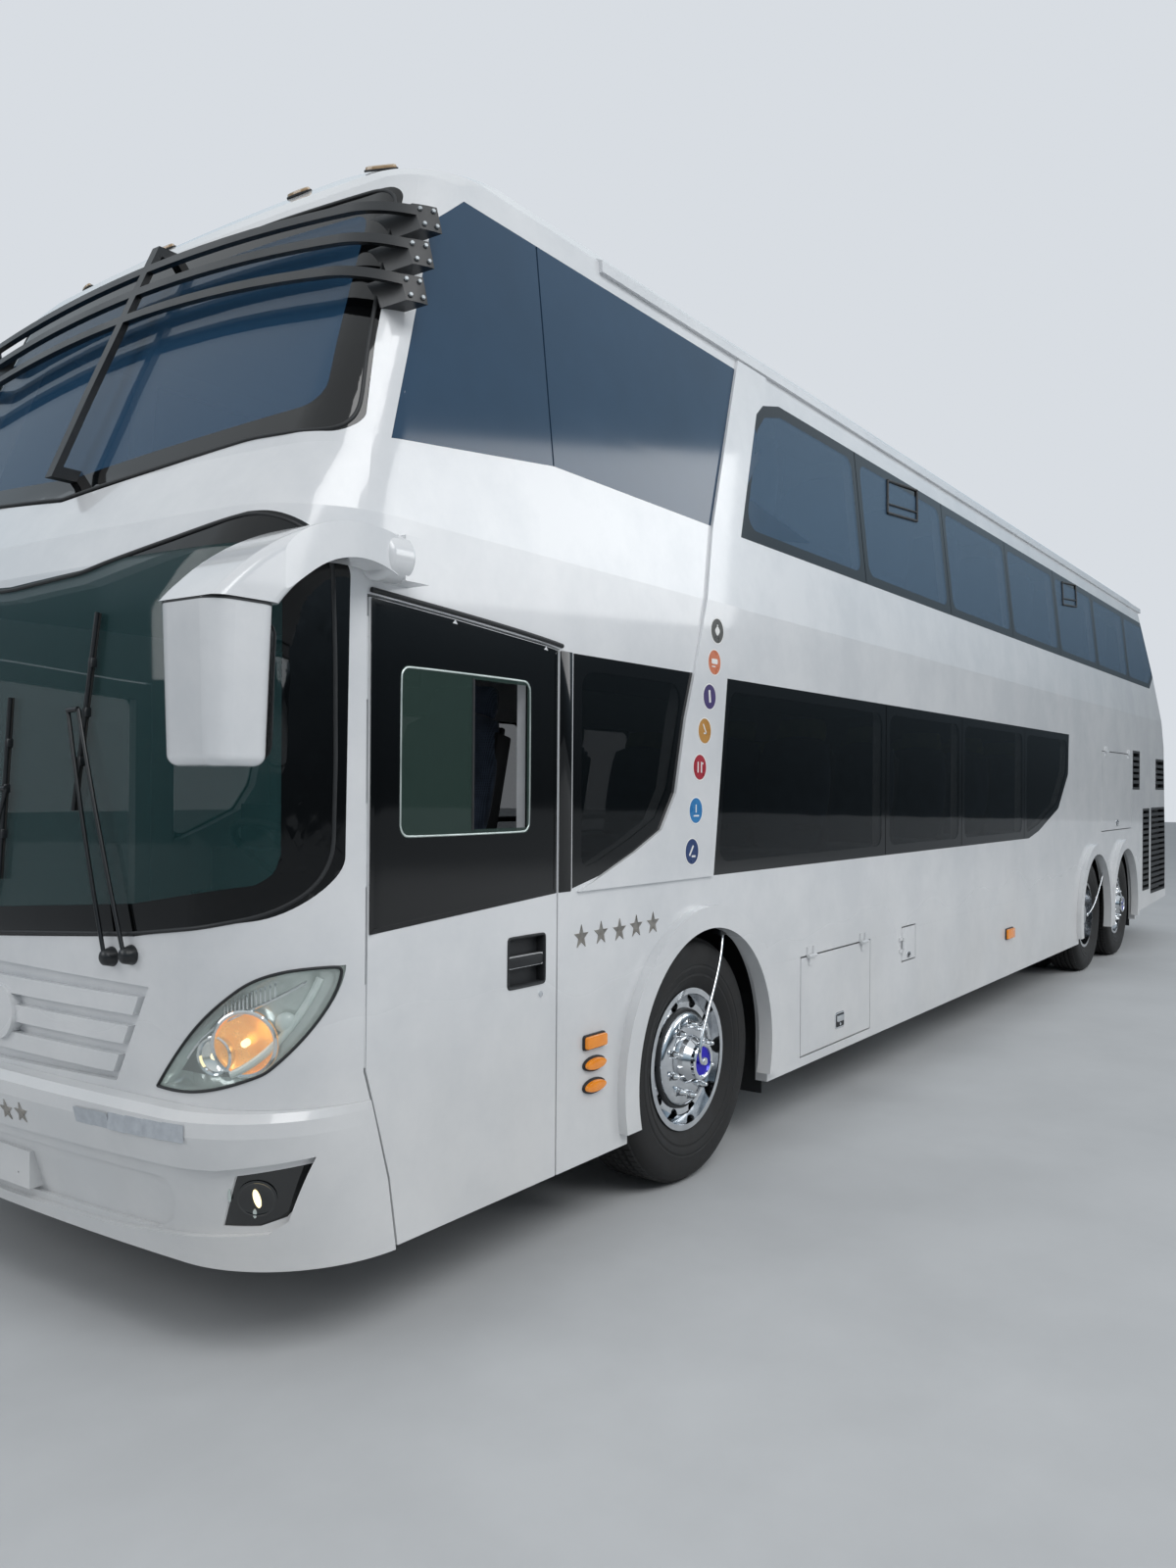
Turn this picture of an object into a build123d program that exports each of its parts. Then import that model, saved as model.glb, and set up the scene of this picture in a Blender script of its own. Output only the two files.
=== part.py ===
from build123d import *
import os
from math import atan2, degrees, sqrt

os.makedirs("parts", exist_ok=True)

# Two-deck touring coach, millimetres. +X is its front, +Y the driver's side, z = 0 the ground.
# Side tables give x from the front axle, which keeps the origin midway from mirrors to tail.
front_axle_x = 4290.0
drive_axle = -7260.0
tag_axle = -8570.0
tyre_r = 516.0
axle_z = tyre_r

# Body shell
wall = 60.0
seat_gap = 0.3
door_gap = 8.0
flap_t = 30.0
front_bow = 12000.0
rear_bow = 9000.0
rear_corner = 170.0
skirt_z = 311.0
tail_skirt_z = 440.0
bumper_top = 765.0
cornice_z = 3645.0
crown_z = 3995.0
belt_z = 1297.0
lower_glass_top = 2148.0
crease_z = 2466.0

# Hull sections: height, nose x, half width, front corner radius, tail x
hull_rows = [
    (skirt_z, 2295.0, 1300.0, 450.0, -11232.0),
    (bumper_top, 2320.0, 1300.0, 410.0, -11187.0),
    (1180.0, 2332.0, 1300.0, 400.0, -11145.0),
    (2175.0, 2318.0, 1300.0, 400.0, -11045.0),
    (2340.0, 2300.0, 1300.0, 380.0, -10960.0),
    (crease_z, 2245.0, 1300.0, 340.0, -10895.0),
    (2670.0, 2100.0, 1278.0, 240.0, -10790.0),
    (3009.0, 1955.0, 1241.0, 205.0, -10615.0),
    (cornice_z, 1672.0, 1173.0, 180.0, -10140.0),
]

# Decks
lower_deck_z = 900.0
upper_deck_z = 2440.0
deck_t = 60.0

side = Plane(origin=(front_axle_x, 0, 0), x_dir=(1, 0, 0), z_dir=(0, -1, 0))
facing = Plane(origin=(front_axle_x, 0, 0), x_dir=(0, 1, 0), z_dir=(1, 0, 0))


def plan(z):
    return Plane(origin=(front_axle_x, 0, z), x_dir=(1, 0, 0), z_dir=(0, 0, 1))


def end_points(tip, bow, corner, half, sign):
    # one bowed end: side tangent point, corner arc's middle, where it meets the bow
    centre = tip - sign * bow
    reach = bow - corner
    corner_y = half - corner
    corner_x = centre + sign * sqrt(reach**2 - corner_y**2)
    ux, uy = (corner_x - centre) / reach, corner_y / reach
    size = sqrt(ux**2 + (uy + 1) ** 2)
    middle = (corner_x + corner * ux / size, corner_y + corner * (uy + 1) / size)
    return (corner_x, half), middle, (centre + bow * ux, bow * uy)


def flip(point):
    return (point[0], -point[1])


def plan_outline(row, inset, tail_corner=rear_corner):
    # bowed nose and tail joined to straight sides by tangent corner arcs
    z, nose, half, corner, tail = row
    f_side, f_mid, f_join = end_points(nose - inset, front_bow, corner - inset, half - inset, 1)
    r_side, r_mid, r_join = end_points(tail + inset, rear_bow, tail_corner - inset, half - inset, -1)
    with BuildSketch(plan(z)) as outline:
        with BuildLine():
            Line(r_side, f_side)
            ThreePointArc(f_side, f_mid, f_join)
            ThreePointArc(f_join, (nose - inset, 0), flip(f_join))
            ThreePointArc(flip(f_join), flip(f_mid), flip(f_side))
            Line(flip(f_side), flip(r_side))
            ThreePointArc(flip(r_side), flip(r_mid), flip(r_join))
            ThreePointArc(flip(r_join), (tail + inset, 0), r_join)
            ThreePointArc(r_join, r_mid, r_side)
        make_face()
    return outline.sketch


def hull(inset):
    # the whole body's outside, drawn in by inset
    sections = [plan_outline(row, inset) for row in hull_rows]
    with BuildPart() as solid:
        loft(sections, ruled=True)
    return solid.part


def side_prism(points, hand=1, grow=0.0, start=1000.0):
    # a side outline of (x, z) points pushed out through one side of the body
    with BuildPart() as prism:
        with BuildSketch(side.offset(-hand * start)):
            with BuildLine():
                Polyline(*points, close=True)
            make_face()
            if grow:
                offset(amount=grow, kind=Kind.INTERSECTION)
        extrude(amount=-hand * (1600 - start))
    return prism.part


def block(x0, x1, y0, y1, z0, z1):
    # x from the front axle
    with BuildPart() as solid:
        with BuildSketch(plan(z0)):
            with Locations(((x0 + x1) / 2, (y0 + y1) / 2)):
                Rectangle(abs(x1 - x0), abs(y1 - y0))
        extrude(amount=z1 - z0)
    return solid.part


outer = hull(0)
inner = hull(wall)
glass_t = 8.0
glass_bed = hull(glass_t + seat_gap)
glass_back = hull(glass_t)

with BuildPart() as shell_build:
    add(outer)
    add(inner, mode=Mode.SUBTRACT)
shell = shell_build.part

with BuildPart() as bed_build:
    add(outer)
    add(glass_bed, mode=Mode.SUBTRACT)
bed_skin = bed_build.part

with BuildPart() as pane_build:
    add(outer)
    add(glass_back, mode=Mode.SUBTRACT)
pane_skin = pane_build.part

# Side outlines, (x from the front axle, z)
mask_outline = [(1700, skirt_z - 50), (1700, 1500), (1953, 1500), (1953, 2500)]
mask_outline += [(1905, 2702), (1636, 3478), (1578, cornice_z), (2600, cornice_z), (2600, 261)]
rear_wall_half = 1110.0
rear_wall_x = -9700.0

door_front = 1953.0
door_rear = 1050.0
door_base = skirt_z - 20
door_outline = [
    (door_front, 850),
    (door_front, 2216),
    (1590, 2194),
    (1120, 2158),
    (door_rear, 2148),
    (door_rear, door_base),
    (1822, door_base),
    (1860, 520),
]
entry_rear = 930.0
entry_outline = [(door_front, 850), (door_front, 2216), (1590, 2194), (1120, 2158)]
entry_outline += [(entry_rear, 2148), (entry_rear, door_base), (1822, door_base), (1860, 520)]

quarter_glass = [(960, belt_z + 12), (960, 2148), (119, 2148), (190, 1950), (262, 1650)]
quarter_glass += [(370, 1505), (560, 1425), (790, 1345)]
lower_band = [(-49, belt_z), (-161, lower_glass_top), (-6277, lower_glass_top)]
lower_band += [(-6254, 1808), (-5928, 1518), (-5316, 1346), (-5030, belt_z)]
upper_front_glass = [(1846, 2704), (1035, 2803), (-90, 2800), (-460, 3600), (1425, 3604), (1580, 3478)]
upper_band = [(-345, 2800), (-509, 3189), (-590, 3391), (-700, 3495), (-900, 3545)]
upper_band += [(-10050, 3545), (-10490, 3009), (-10130, 2817)]
swoosh = [(-474, cornice_z), (-90, 2800), (119, 2148), (190, 1950), (262, 1650), (370, 1505)]
swoosh += [(560, 1425), (790, 1345), (930, belt_z), (-49, belt_z), (-161, 2148), (-345, 2800)]
swoosh += [(-618, 3430), (-720, 3510), (-760, cornice_z)]
swoosh_proud = 12.0

lower_bars = [-2050.0, -3400.0, -4900.0]
upper_bars = [-1839.0, -3283.0, -4711.0, -6137.0, -7570.0, -9000.0]
front_bars = [1036.0]
frame_w = 45.0
bar_w = 90.0
pane_joint = 8.0

# Wheel arches
arch_r = 590.0
lip_in = 565.0
lip_out = 660.0
lip_proud = 38.0
tandem_mid = (drive_axle + tag_axle) / 2

# Side flaps and grilles: x0, x1, z0, z1
luggage_flap = (-1830.0, -950.0, 362.0, 840.0)
engine_door = (-8955.0, -7560.0, 1285.0, 2040.0)
fuel_flap = (-2540.0, -2320.0, 668.0, 860.0)
grilles = [
    (-9390.0, -9010.0, 1680.0, 2090.0),
    (-10860.0, -10310.0, 1680.0, 2030.0),
    (-9960.0, -9570.0, 580.0, 1475.0),
    (-10940.0, -10040.0, 520.0, 1480.0),
]
# Rear lid and window on the tail: half width, z0, z1
engine_lid = (930.0, 640.0, 1700.0)
rear_window = (900.0, 2860.0, 3480.0)


def rect(x0, x1, z0, z1):
    return [(x0, z0), (x1, z0), (x1, z1), (x0, z1)]


def grow_rect(box, gap):
    x0, x1, z0, z1 = box
    return rect(x0 - gap, x1 + gap, z0 - gap, z1 + gap)


def common(first, *others):
    # what several solids share
    with BuildPart() as shared:
        add(first)
        for other in others:
            add(other, mode=Mode.INTERSECT)
    return shared.part


def windows(points, bars, hand):
    # openings through the wall behind one glass band, with pillars left at the bars
    with BuildPart() as cut:
        with BuildSketch(side.offset(-hand * 1000)):
            with BuildLine():
                Polyline(*points, close=True)
            make_face()
            offset(amount=-frame_w, kind=Kind.INTERSECTION)
            for bar in bars:
                with Locations((bar, 2500)):
                    Rectangle(bar_w, 5000, mode=Mode.SUBTRACT)
        extrude(amount=-hand * 600)
    return cut.part


def panes(points, bars, hand):
    # the glass of one band, a pane to each bay
    with BuildPart() as glass:
        with BuildSketch(side.offset(-hand * 1000)):
            with BuildLine():
                Polyline(*points, close=True)
            make_face()
            offset(amount=-seat_gap, kind=Kind.INTERSECTION)
            for bar in bars:
                with Locations((bar, 2500)):
                    Rectangle(pane_joint, 5000, mode=Mode.SUBTRACT)
        extrude(amount=-hand * 600)
        add(pane_skin, mode=Mode.INTERSECT)
    return glass.part


def arch_cut(x, radius, hand):
    # a round arch, open down to below the skirt
    with BuildPart() as cut:
        with BuildSketch(side.offset(-hand * 1000)):
            with Locations((x, axle_z)):
                Circle(radius)
            with Locations((x, axle_z - 250)):
                Rectangle(2 * radius, 500)
        extrude(amount=-hand * 600)
    return cut.part


def arch_lips(hand):
    # lips that stand proud round the three arches on one side
    lip_base = 360.0
    with BuildPart() as lip:
        with BuildSketch(side.offset(-hand * (1300 - 30))):
            for x in (0.0, drive_axle, tag_axle):
                with Locations((x, axle_z)):
                    Circle(lip_out)
            for x in (0.0, drive_axle, tag_axle):
                with Locations((x, axle_z)):
                    Circle(lip_in, mode=Mode.SUBTRACT)
            with Locations((tandem_mid, 0)):
                Rectangle(20000, 2 * lip_base, mode=Mode.SUBTRACT)
        extrude(amount=-hand * (lip_proud + 30))
    return lip.part


# Hinges: barrels proud of the skin on small leaves
hinge_proud = 12.0
barrel_r = 9.0
hinge_pin_r = 4.0
leaf_w = 46.0
leaf_t = 8.0
leaf_sink = 7.0
knuckle_spans = [(-44.0, -24.0), (24.0, 44.0)]
middle_span = [(-22.0, 22.0)]


def hinge_leaf(centre, along, out, moving):
    # one half of a butt hinge; the moving leaf lies on the side that out x along points to
    base = Plane(origin=centre, x_dir=along, z_dir=out).location
    spans = middle_span if moving else knuckle_spans
    sign = 1 if moving else -1
    with BuildPart() as leaf:
        for u0, u1 in spans:
            middle, long = (u0 + u1) / 2, u1 - u0
            deep = leaf_t + leaf_sink
            with Locations(base * Location((middle, sign * leaf_w / 2, deep / 2 - leaf_sink - hinge_proud))):
                Box(long, leaf_w, deep)
            with Locations(base * Location((middle, 0, 0), (0, 90, 0))):
                Cylinder(barrel_r, long)
        if moving:
            with Locations(base * Location((0, 0, 0), (0, 90, 0))):
                Cylinder(hinge_pin_r + seat_gap, 60, mode=Mode.SUBTRACT)
            with Locations(base * Location((0, 4, -hinge_proud - leaf_sink))):
                Box(60, door_gap + 1, 2 * leaf_sink, mode=Mode.SUBTRACT)
        else:
            with Locations(base * Location((0, 0, 0), (0, 90, 0))):
                Cylinder(hinge_pin_r, 90)
            with Locations(base * Location((0, -4, -hinge_proud - leaf_sink))):
                Box(100, door_gap + 1, 2 * leaf_sink, mode=Mode.SUBTRACT)
    return leaf.part


def top_hinges(box, hand, moving):
    # two hinges along a flap's top edge
    x0, x1, z0, z1 = box
    halves = []
    for share in (0.12, 0.88):
        centre = (front_axle_x + x0 + share * (x1 - x0), hand * (1300 + hinge_proud), z1 + door_gap / 2)
        halves.append(hinge_leaf(centre, (hand, 0, 0), (0, hand, 0), moving))
    return halves[0] + halves[1]


def edge_hinge(box, moving):
    # one hinge at the middle of a small flap's front edge
    x0, x1, z0, z1 = box
    centre = (front_axle_x + x1 + door_gap / 2, 1300 + hinge_proud, (z0 + z1) / 2)
    return hinge_leaf(centre, (0, 0, -1), (0, 1, 0), moving)


# Slim hinge hidden in the driver's door seam: centre y, segment heights
seam_hinge_y = 1290.0
seam_barrel_r = 3.2
seam_pin_r = 1.5
seam_hinge_zs = [980.0, 1500.0, 2040.0]
seam_x = 1953.0 + door_gap / 2


def seam_hinge(moving):
    with BuildPart() as segments:
        for z in seam_hinge_zs:
            parts = [(-60, 60)] if moving else [(-120, -61), (61, 120)]
            for z0, z1 in parts:
                with Locations((front_axle_x + seam_x, seam_hinge_y, z + (z0 + z1) / 2)):
                    Cylinder(seam_barrel_r, z1 - z0)
                x0, x1 = (seam_x - 9, seam_x) if moving else (seam_x, seam_x + 9)
                add(block(x0, x1, seam_hinge_y - 26, seam_hinge_y - 1, z + z0, z + z1))
        if moving:
            for z in seam_hinge_zs:
                with Locations((front_axle_x + seam_x, seam_hinge_y, z)):
                    Cylinder(seam_pin_r + seat_gap, 240, mode=Mode.SUBTRACT)
        else:
            for z in seam_hinge_zs:
                with Locations((front_axle_x + seam_x, seam_hinge_y, z)):
                    Cylinder(seam_pin_r, 240)
    return segments.part


bands = [(lower_band, lower_bars), (upper_front_glass, front_bars), (upper_band, upper_bars)]
mask_prism = side_prism(mask_outline, 1, start=0.0) + side_prism(mask_outline, -1, start=0.0)
rear_box = block(-11600, rear_wall_x, -rear_wall_half, rear_wall_half, 200, cornice_z)


def side_wall(hand, z0, z1):
    # one side of the shell between two heights, front mask and tail left off
    with BuildPart() as wall_part:
        add(shell)
        add(block(-11600, 2600, 0, hand * 1500, z0, z1), mode=Mode.INTERSECT)
        add(mask_prism, mode=Mode.SUBTRACT)
        add(rear_box, mode=Mode.SUBTRACT)
    return wall_part.part


def glazed(wall_part, band, bars, hand):
    # a wall with one band's rebate and window openings cut
    rebate = common(bed_skin, side_prism(band, hand))
    return wall_part - rebate - windows(band, bars, hand)


# Hairline joints that part the skirt panels and the sill round the luggage flap from the wall
# over them: x0, x1, lowest z
joint_x0 = luggage_flap[0] - door_gap
joint_x1 = luggage_flap[1] + door_gap
joint_z = luggage_flap[3] + door_gap
joints = [
    (joint_x0 - seat_gap, joint_x0, 200.0),
    (joint_x1, joint_x1 + seat_gap, 200.0),
    (drive_axle, joint_x0, joint_z),
    (joint_x1, 0.0, joint_z),
]


def lower_wall(hand, door):
    panel = side_wall(hand, skirt_z - 1, crease_z)
    panel = panel - side_prism(door, hand, grow=door_gap)
    for x in (0.0, drive_axle, tag_axle):
        panel = panel - arch_cut(x, arch_r, hand)
    panel = panel - side_prism(rect(tag_axle, drive_axle, 200, 752), hand)
    panel = glazed(panel, lower_band, lower_bars, hand)
    if hand > 0:
        panel = glazed(panel, quarter_glass, [], hand)
        panel = panel - side_prism(grow_rect(fuel_flap, door_gap), hand)
        panel = panel - side_prism(grow_rect(engine_door, door_gap), hand)
    else:
        panel = glazed(panel, right_quarter, [], hand)
    panel = panel - side_prism(grow_rect(luggage_flap, door_gap), hand)
    for box in grilles:
        panel = panel - side_prism(grow_rect(box, seat_gap), hand)
    panel = panel - side_prism([(-9236, 200), (-9236, 374), (-11400, tail_skirt_z + 2), (-11400, 200)], hand)
    panel = panel + arch_lips(hand) + top_hinges(luggage_flap, hand, False)
    if hand > 0:
        panel = panel + top_hinges(engine_door, hand, False) + edge_hinge(fuel_flap, False)
    for x0, x1, z0 in joints:
        panel = panel - block(x0, x1, hand * 1200, hand * 1400, z0, joint_z + seat_gap)
    return panel


inside_edge = 14.0
entry_glass = [(entry_rear, 620), (entry_rear, 2148), (1120, 2158), (1590, 2194), (door_front, 2216)]
entry_glass += [(door_front, 850), (1880, 620)]

right_quarter = [(845, belt_z + 12), (845, 2148), (119, 2148), (190, 1950), (262, 1650)]
right_quarter += [(370, 1505), (560, 1425), (760, 1352)]

for hand, name, door in ((1, "left", door_outline), (-1, "right", entry_outline)):
    with BuildPart() as lower_side:
        add(lower_wall(hand, door))
    lower_side.part.label = "lower_side_" + name
    export_step(lower_side.part, "parts/lower_side_" + name + ".step")

    upper = side_wall(hand, crease_z, cornice_z)
    upper = glazed(upper, upper_front_glass, front_bars, hand)
    upper = glazed(upper, upper_band, upper_bars, hand)
    with BuildPart() as upper_side:
        add(upper)
    upper_side.part.label = "upper_side_" + name
    export_step(upper_side.part, "parts/upper_side_" + name + ".step")

    quarter = quarter_glass if hand > 0 else right_quarter
    with BuildPart() as side_glass:
        add(panes(quarter, [], hand))
        for band, bars in bands:
            add(panes(band, bars, hand))
        if hand < 0:
            add(common(pane_skin, side_prism(entry_glass, -1, grow=-inside_edge - seat_gap)))
    side_glass.part.label = "side_glass_" + name
    export_step(side_glass.part, "parts/side_glass_" + name + ".step")

# Raised pillar behind the driver that sweeps from the belt to the roof, one a side
raised = hull(-swoosh_proud) - hull(-seat_gap)
with BuildPart() as swoosh_pillars:
    for hand in (1, -1):
        add(common(raised, side_prism(swoosh, hand)))
swoosh_pillars.part.label = "swoosh_pillars"
export_step(swoosh_pillars.part, "parts/swoosh_pillars.step")

# Front mask
lower_screen_low = [(0, 1176), (700, 1226), (1278, 1316)]
lower_screen_high = [(1278, 2452), (1060, 2445), (780, 2392), (400, 2330), (0, 2312)]
upper_screen_low = [(0, 2622), (400, 2664), (900, 2712), (1240, 2700)]
upper_screen_high = [(1100, 3596), (600, 3612), (0, 3615)]
screen_corners = (180.0, 60.0)
lamp_arcs = [
    ((795, 800), (930, 958), (1080, 1093)),
    ((1080, 1093), (1175, 1148), (1280, 1162)),
    ((1280, 1162), (1236, 985), (1150, 866)),
    ((1150, 866), (1000, 812), (795, 800)),
]
lamp_back = 1966.0
grille_outline = [(0, 778), (613, 792), (765, 1084), (0, 1095)]


def both(points):
    # a front outline closed by its own mirror image
    return points + [(-y, z) for y, z in reversed(points) if y > 0]


def front_prism(points, grow=0.0, start=1300.0):
    with BuildPart() as prism:
        with BuildSketch(facing.offset(start)):
            with BuildLine():
                Polyline(*points, close=True)
            make_face()
            if grow:
                offset(amount=grow, kind=Kind.INTERSECTION)
        extrude(amount=1400)
    return prism.part


def screen_prism(points, corner, grow=0.0):
    # a screen's outline with its four corners rounded
    with BuildPart() as prism:
        with BuildSketch(facing.offset(1300)):
            with BuildLine():
                Polyline(*points, close=True)
            make_face()
            fillet(vertices().filter_by(lambda v: abs(v.X) > 1090), corner)
            if grow:
                offset(amount=grow)
        extrude(amount=1400)
    return prism.part


def lamp_prism(grow):
    with BuildPart() as prism:
        with BuildSketch(facing.offset(lamp_back - grow)):
            with BuildLine():
                for arc in lamp_arcs:
                    ThreePointArc(*arc)
            make_face()
            if grow:
                offset(amount=grow)
        extrude(amount=700)
        mirror(about=Plane.XZ)
    return prism.part


lower_screen = both(lower_screen_low + lower_screen_high)
upper_screen = both(upper_screen_low + upper_screen_high)
grille_edge = both(grille_outline)
mask = common(shell, mask_prism, block(1000, 2600, -1500, 1500, bumper_top, cornice_z))
mask = mask - side_prism(door_outline, 1, grow=door_gap) - side_prism(entry_outline, -1, grow=door_gap)
for screen, corner in zip((lower_screen, upper_screen), screen_corners):
    mask = mask - common(bed_skin, screen_prism(screen, corner)) - screen_prism(screen, corner, -frame_w)
mask = mask - lamp_prism(seat_gap) - front_prism(grille_edge, seat_gap) + seam_hinge(False)
with BuildPart() as front_mask:
    add(mask)
front_mask.part.label = "front_mask"
export_step(front_mask.part, "parts/front_mask.step")

# Grille panel: a dished plate with three broad bars and a plain boss
grille_dish = 26.0
bar_rows = [(815, 870), (905, 960), (995, 1050)]
dish_skin = hull(grille_dish) - inner
bar_skin = outer - hull(grille_dish + 5)
with BuildPart() as grille_panel:
    add(common(dish_skin, front_prism(grille_edge)))
    for z0, z1 in bar_rows:
        slab = block(1800, 2600, -900, 900, z0, z1)
        add(common(bar_skin, front_prism(grille_edge, -25), slab))
    with BuildSketch(facing.offset(2280)):
        with Locations((0, 932)):
            Circle(88)
    extrude(amount=58)
grille_panel.part.label = "grille_panel"
export_step(grille_panel.part, "parts/grille_panel.step")

# Front bumper: height, nose x, half width, corner radius, back end
bumper_rows = [
    (300, 2288, 1300, 450, 0),
    (345, 2300, 1300, 450, 0),
    (560, 2360, 1300, 440, 0),
    (700, 2398, 1300, 430, 0),
    (742, 2398, 1300, 430, 0),
    (bumper_top - seat_gap, 2372, 1300, 425, 0),
]
bumper_t = 62.0
fog_outline = [(1021, 430), (1087, 584), (1238, 611), (1209, 507), (1172, 458), (1112, 432)]


def bumper_hull(inset):
    sections = [plan_outline(row, inset) for row in bumper_rows]
    with BuildPart() as solid:
        loft(sections, ruled=True)
    return solid.part


bumper = bumper_hull(0) - bumper_hull(bumper_t)
bumper = common(bumper, block(1700, 2600, -1500, 1500, 200, bumper_top))
bumper = bumper - side_prism(door_outline, 1, grow=door_gap) - side_prism(entry_outline, -1, grow=door_gap)
fog_holes = front_prism(fog_outline, seat_gap, 1900)
fog_holes = fog_holes + fog_holes.mirror(Plane.XZ)

# Band sunk under the bumper's brow that runs out round the fog lamps, a deeper panel along its
# middle, and in that a flat pad for the number plate with two screw holes
band_outline = [(0, 338), (568, 353), (1011, 402), (1144, 415), (1191, 452), (1256, 634)]
band_outline += [(1058, 606), (0, 588)]
band_sunk = 22.0
panel_outline = [(0, 366), (770, 380), (845, 420), (880, 500), (850, 553), (0, 545)]
panel_sunk = 38.0
pad_half = 165.0
pad_low, pad_high = 382.0, 500.0
pad_face = 2318.0
plate_hole_y = 100.0
plate_hole_z = 424.0
plate_hole_r = 3.5
band_skin = bumper_hull(-5) - bumper_hull(band_sunk)
panel_skin = bumper_hull(-5) - bumper_hull(panel_sunk)
pad_box = block(2270, pad_face, -pad_half, pad_half, pad_low, pad_high)
with BuildPart() as front_bumper:
    add(bumper - fog_holes)
    add(common(band_skin, front_prism(both(band_outline), 0, 1900)), mode=Mode.SUBTRACT)
    add(common(panel_skin, front_prism(both(panel_outline), 0, 1900)), mode=Mode.SUBTRACT)
    add(pad_box)
    with BuildSketch(facing.offset(2000)):
        with Locations((plate_hole_y, plate_hole_z), (-plate_hole_y, plate_hole_z)):
            Circle(plate_hole_r)
    extrude(amount=600, mode=Mode.SUBTRACT)
front_bumper.part.label = "front_bumper"
export_step(front_bumper.part, "parts/front_bumper.step")

fog_body = common(bumper_hull(band_sunk + 6) - bumper_hull(bumper_t), front_prism(fog_outline, 0, 1900))
with BuildPart() as front_lamps:
    add(common(shell, lamp_prism(0)))
    add(fog_body)
    add(fog_body.mirror(Plane.XZ))
front_lamps.part.label = "front_lamps"
export_step(front_lamps.part, "parts/front_lamps.step")

# Roof: domed cap whose corners widen as it rises, with a gutter moulding along each side behind
# the front moulding. Rows: height, nose x, half width, corner radius, tail x
roof_rows = [
    hull_rows[-1],
    (3700.0, 1628.0, 1168.0, 270.0, -10128.0),
    (3760.0, 1553.0, 1118.0, 370.0, -10080.0),
    (3830.0, 1465.0, 1010.0, 430.0, -9990.0),
    (3900.0, 1340.0, 830.0, 430.0, -9850.0),
    (3960.0, 1140.0, 560.0, 380.0, -9620.0),
    (crown_z, 800.0, 300.0, 220.0, -9250.0),
]
gutter_front = 633.0
gutter_tail = -10000.0
gutter_profile = [(1140, 3655), (1189, 3655), (1186, 3700), (1140, 3722)]
hatch_xs = [-2600.0, -7600.0]
hatch_size = 760.0
hatch_sink = 40.0
hatch_proud = 32.0


def roof_cap(inset):
    base = (cornice_z,) + roof_rows[0][1:]
    upper = [row for row in roof_rows if row[0] - inset > cornice_z]
    sections = [plan_outline(base, inset)]
    for z, *rest in upper:
        sections.append(plan_outline((z - inset, *rest), inset, rest[2]))
    with BuildPart() as cap:
        loft(sections, ruled=True)
    return cap.part


with BuildPart() as roof:
    add(roof_cap(0))
    add(roof_cap(wall), mode=Mode.SUBTRACT)
    for hand in (1, -1):
        with BuildSketch(facing.offset(gutter_tail)):
            with BuildLine():
                Polyline(*[(hand * y, z) for y, z in gutter_profile], close=True)
            make_face()
        extrude(amount=gutter_front - gutter_tail)
    for x in hatch_xs:
        with BuildSketch(plan(crown_z - hatch_sink)):
            with Locations((x, 0)):
                RectangleRounded(hatch_size, hatch_size, 90)
        extrude(amount=hatch_sink + hatch_proud)
roof.part.label = "roof"
export_step(roof.part, "parts/roof.step")

# Tail
lid_half, lid_low, lid_high = engine_lid
win_half, win_low, win_high = rear_window
tail_lamp = (1000.0, 1085.0, 1150.0, 1850.0)


def tail_prism(y0, y1, z0, z1, grow=0.0):
    return block(-11600, -9900, y0 - grow, y1 + grow, z0 - grow, z1 + grow)


lid_hinge_x = -11095.0


def lid_hinges(moving):
    halves = []
    for y in (-420.0, 420.0):
        centre = (front_axle_x + lid_hinge_x, y, lid_high + door_gap / 2)
        halves.append(hinge_leaf(centre, (0, 1, 0), (-1, 0, 0), moving))
    return halves[0] + halves[1]


tail = common(shell, rear_box) - block(-11600, -9900, -1200, 1200, 200, tail_skirt_z)
tail = tail - block(-11600, -10900, -130, 130, 200, 570)
tail = tail - tail_prism(-lid_half, lid_half, lid_low, lid_high, door_gap)
window_hole = tail_prism(-win_half, win_half, win_low, win_high)
tail = tail - common(bed_skin, window_hole) - tail_prism(-win_half, win_half, win_low, win_high, -frame_w)
lamp_y0, lamp_y1, lamp_z0, lamp_z1 = tail_lamp
for hand in (1, -1):
    y0, y1 = sorted((hand * lamp_y0, hand * lamp_y1))
    tail = tail - tail_prism(y0, y1, lamp_z0, lamp_z1, seat_gap)
with BuildPart() as rear_wall:
    add(tail)
    add(lid_hinges(False))
rear_wall.part.label = "rear_wall"
export_step(rear_wall.part, "parts/rear_wall.step")

with BuildPart() as screens:
    for screen, corner in zip((lower_screen, upper_screen), screen_corners):
        add(common(pane_skin, screen_prism(screen, corner, -seat_gap)))
    add(common(pane_skin, tail_prism(-win_half, win_half, win_low, win_high, -seat_gap)))
screens.part.label = "screens"
export_step(screens.part, "parts/screens.step")

with BuildPart() as tail_lamps:
    for hand in (1, -1):
        y0, y1 = sorted((hand * lamp_y0, hand * lamp_y1))
        add(common(shell, tail_prism(y0, y1, lamp_z0, lamp_z1)))
tail_lamps.part.label = "tail_lamps"
export_step(tail_lamps.part, "parts/tail_lamps.step")

with BuildPart() as rear_lid:
    add(common(outer - hull(flap_t), tail_prism(-lid_half, lid_half, lid_low, lid_high)))
    add(lid_hinges(True))
rear_lid.part.label = "rear_lid"
export_step(rear_lid.part, "parts/rear_lid.step")

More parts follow.
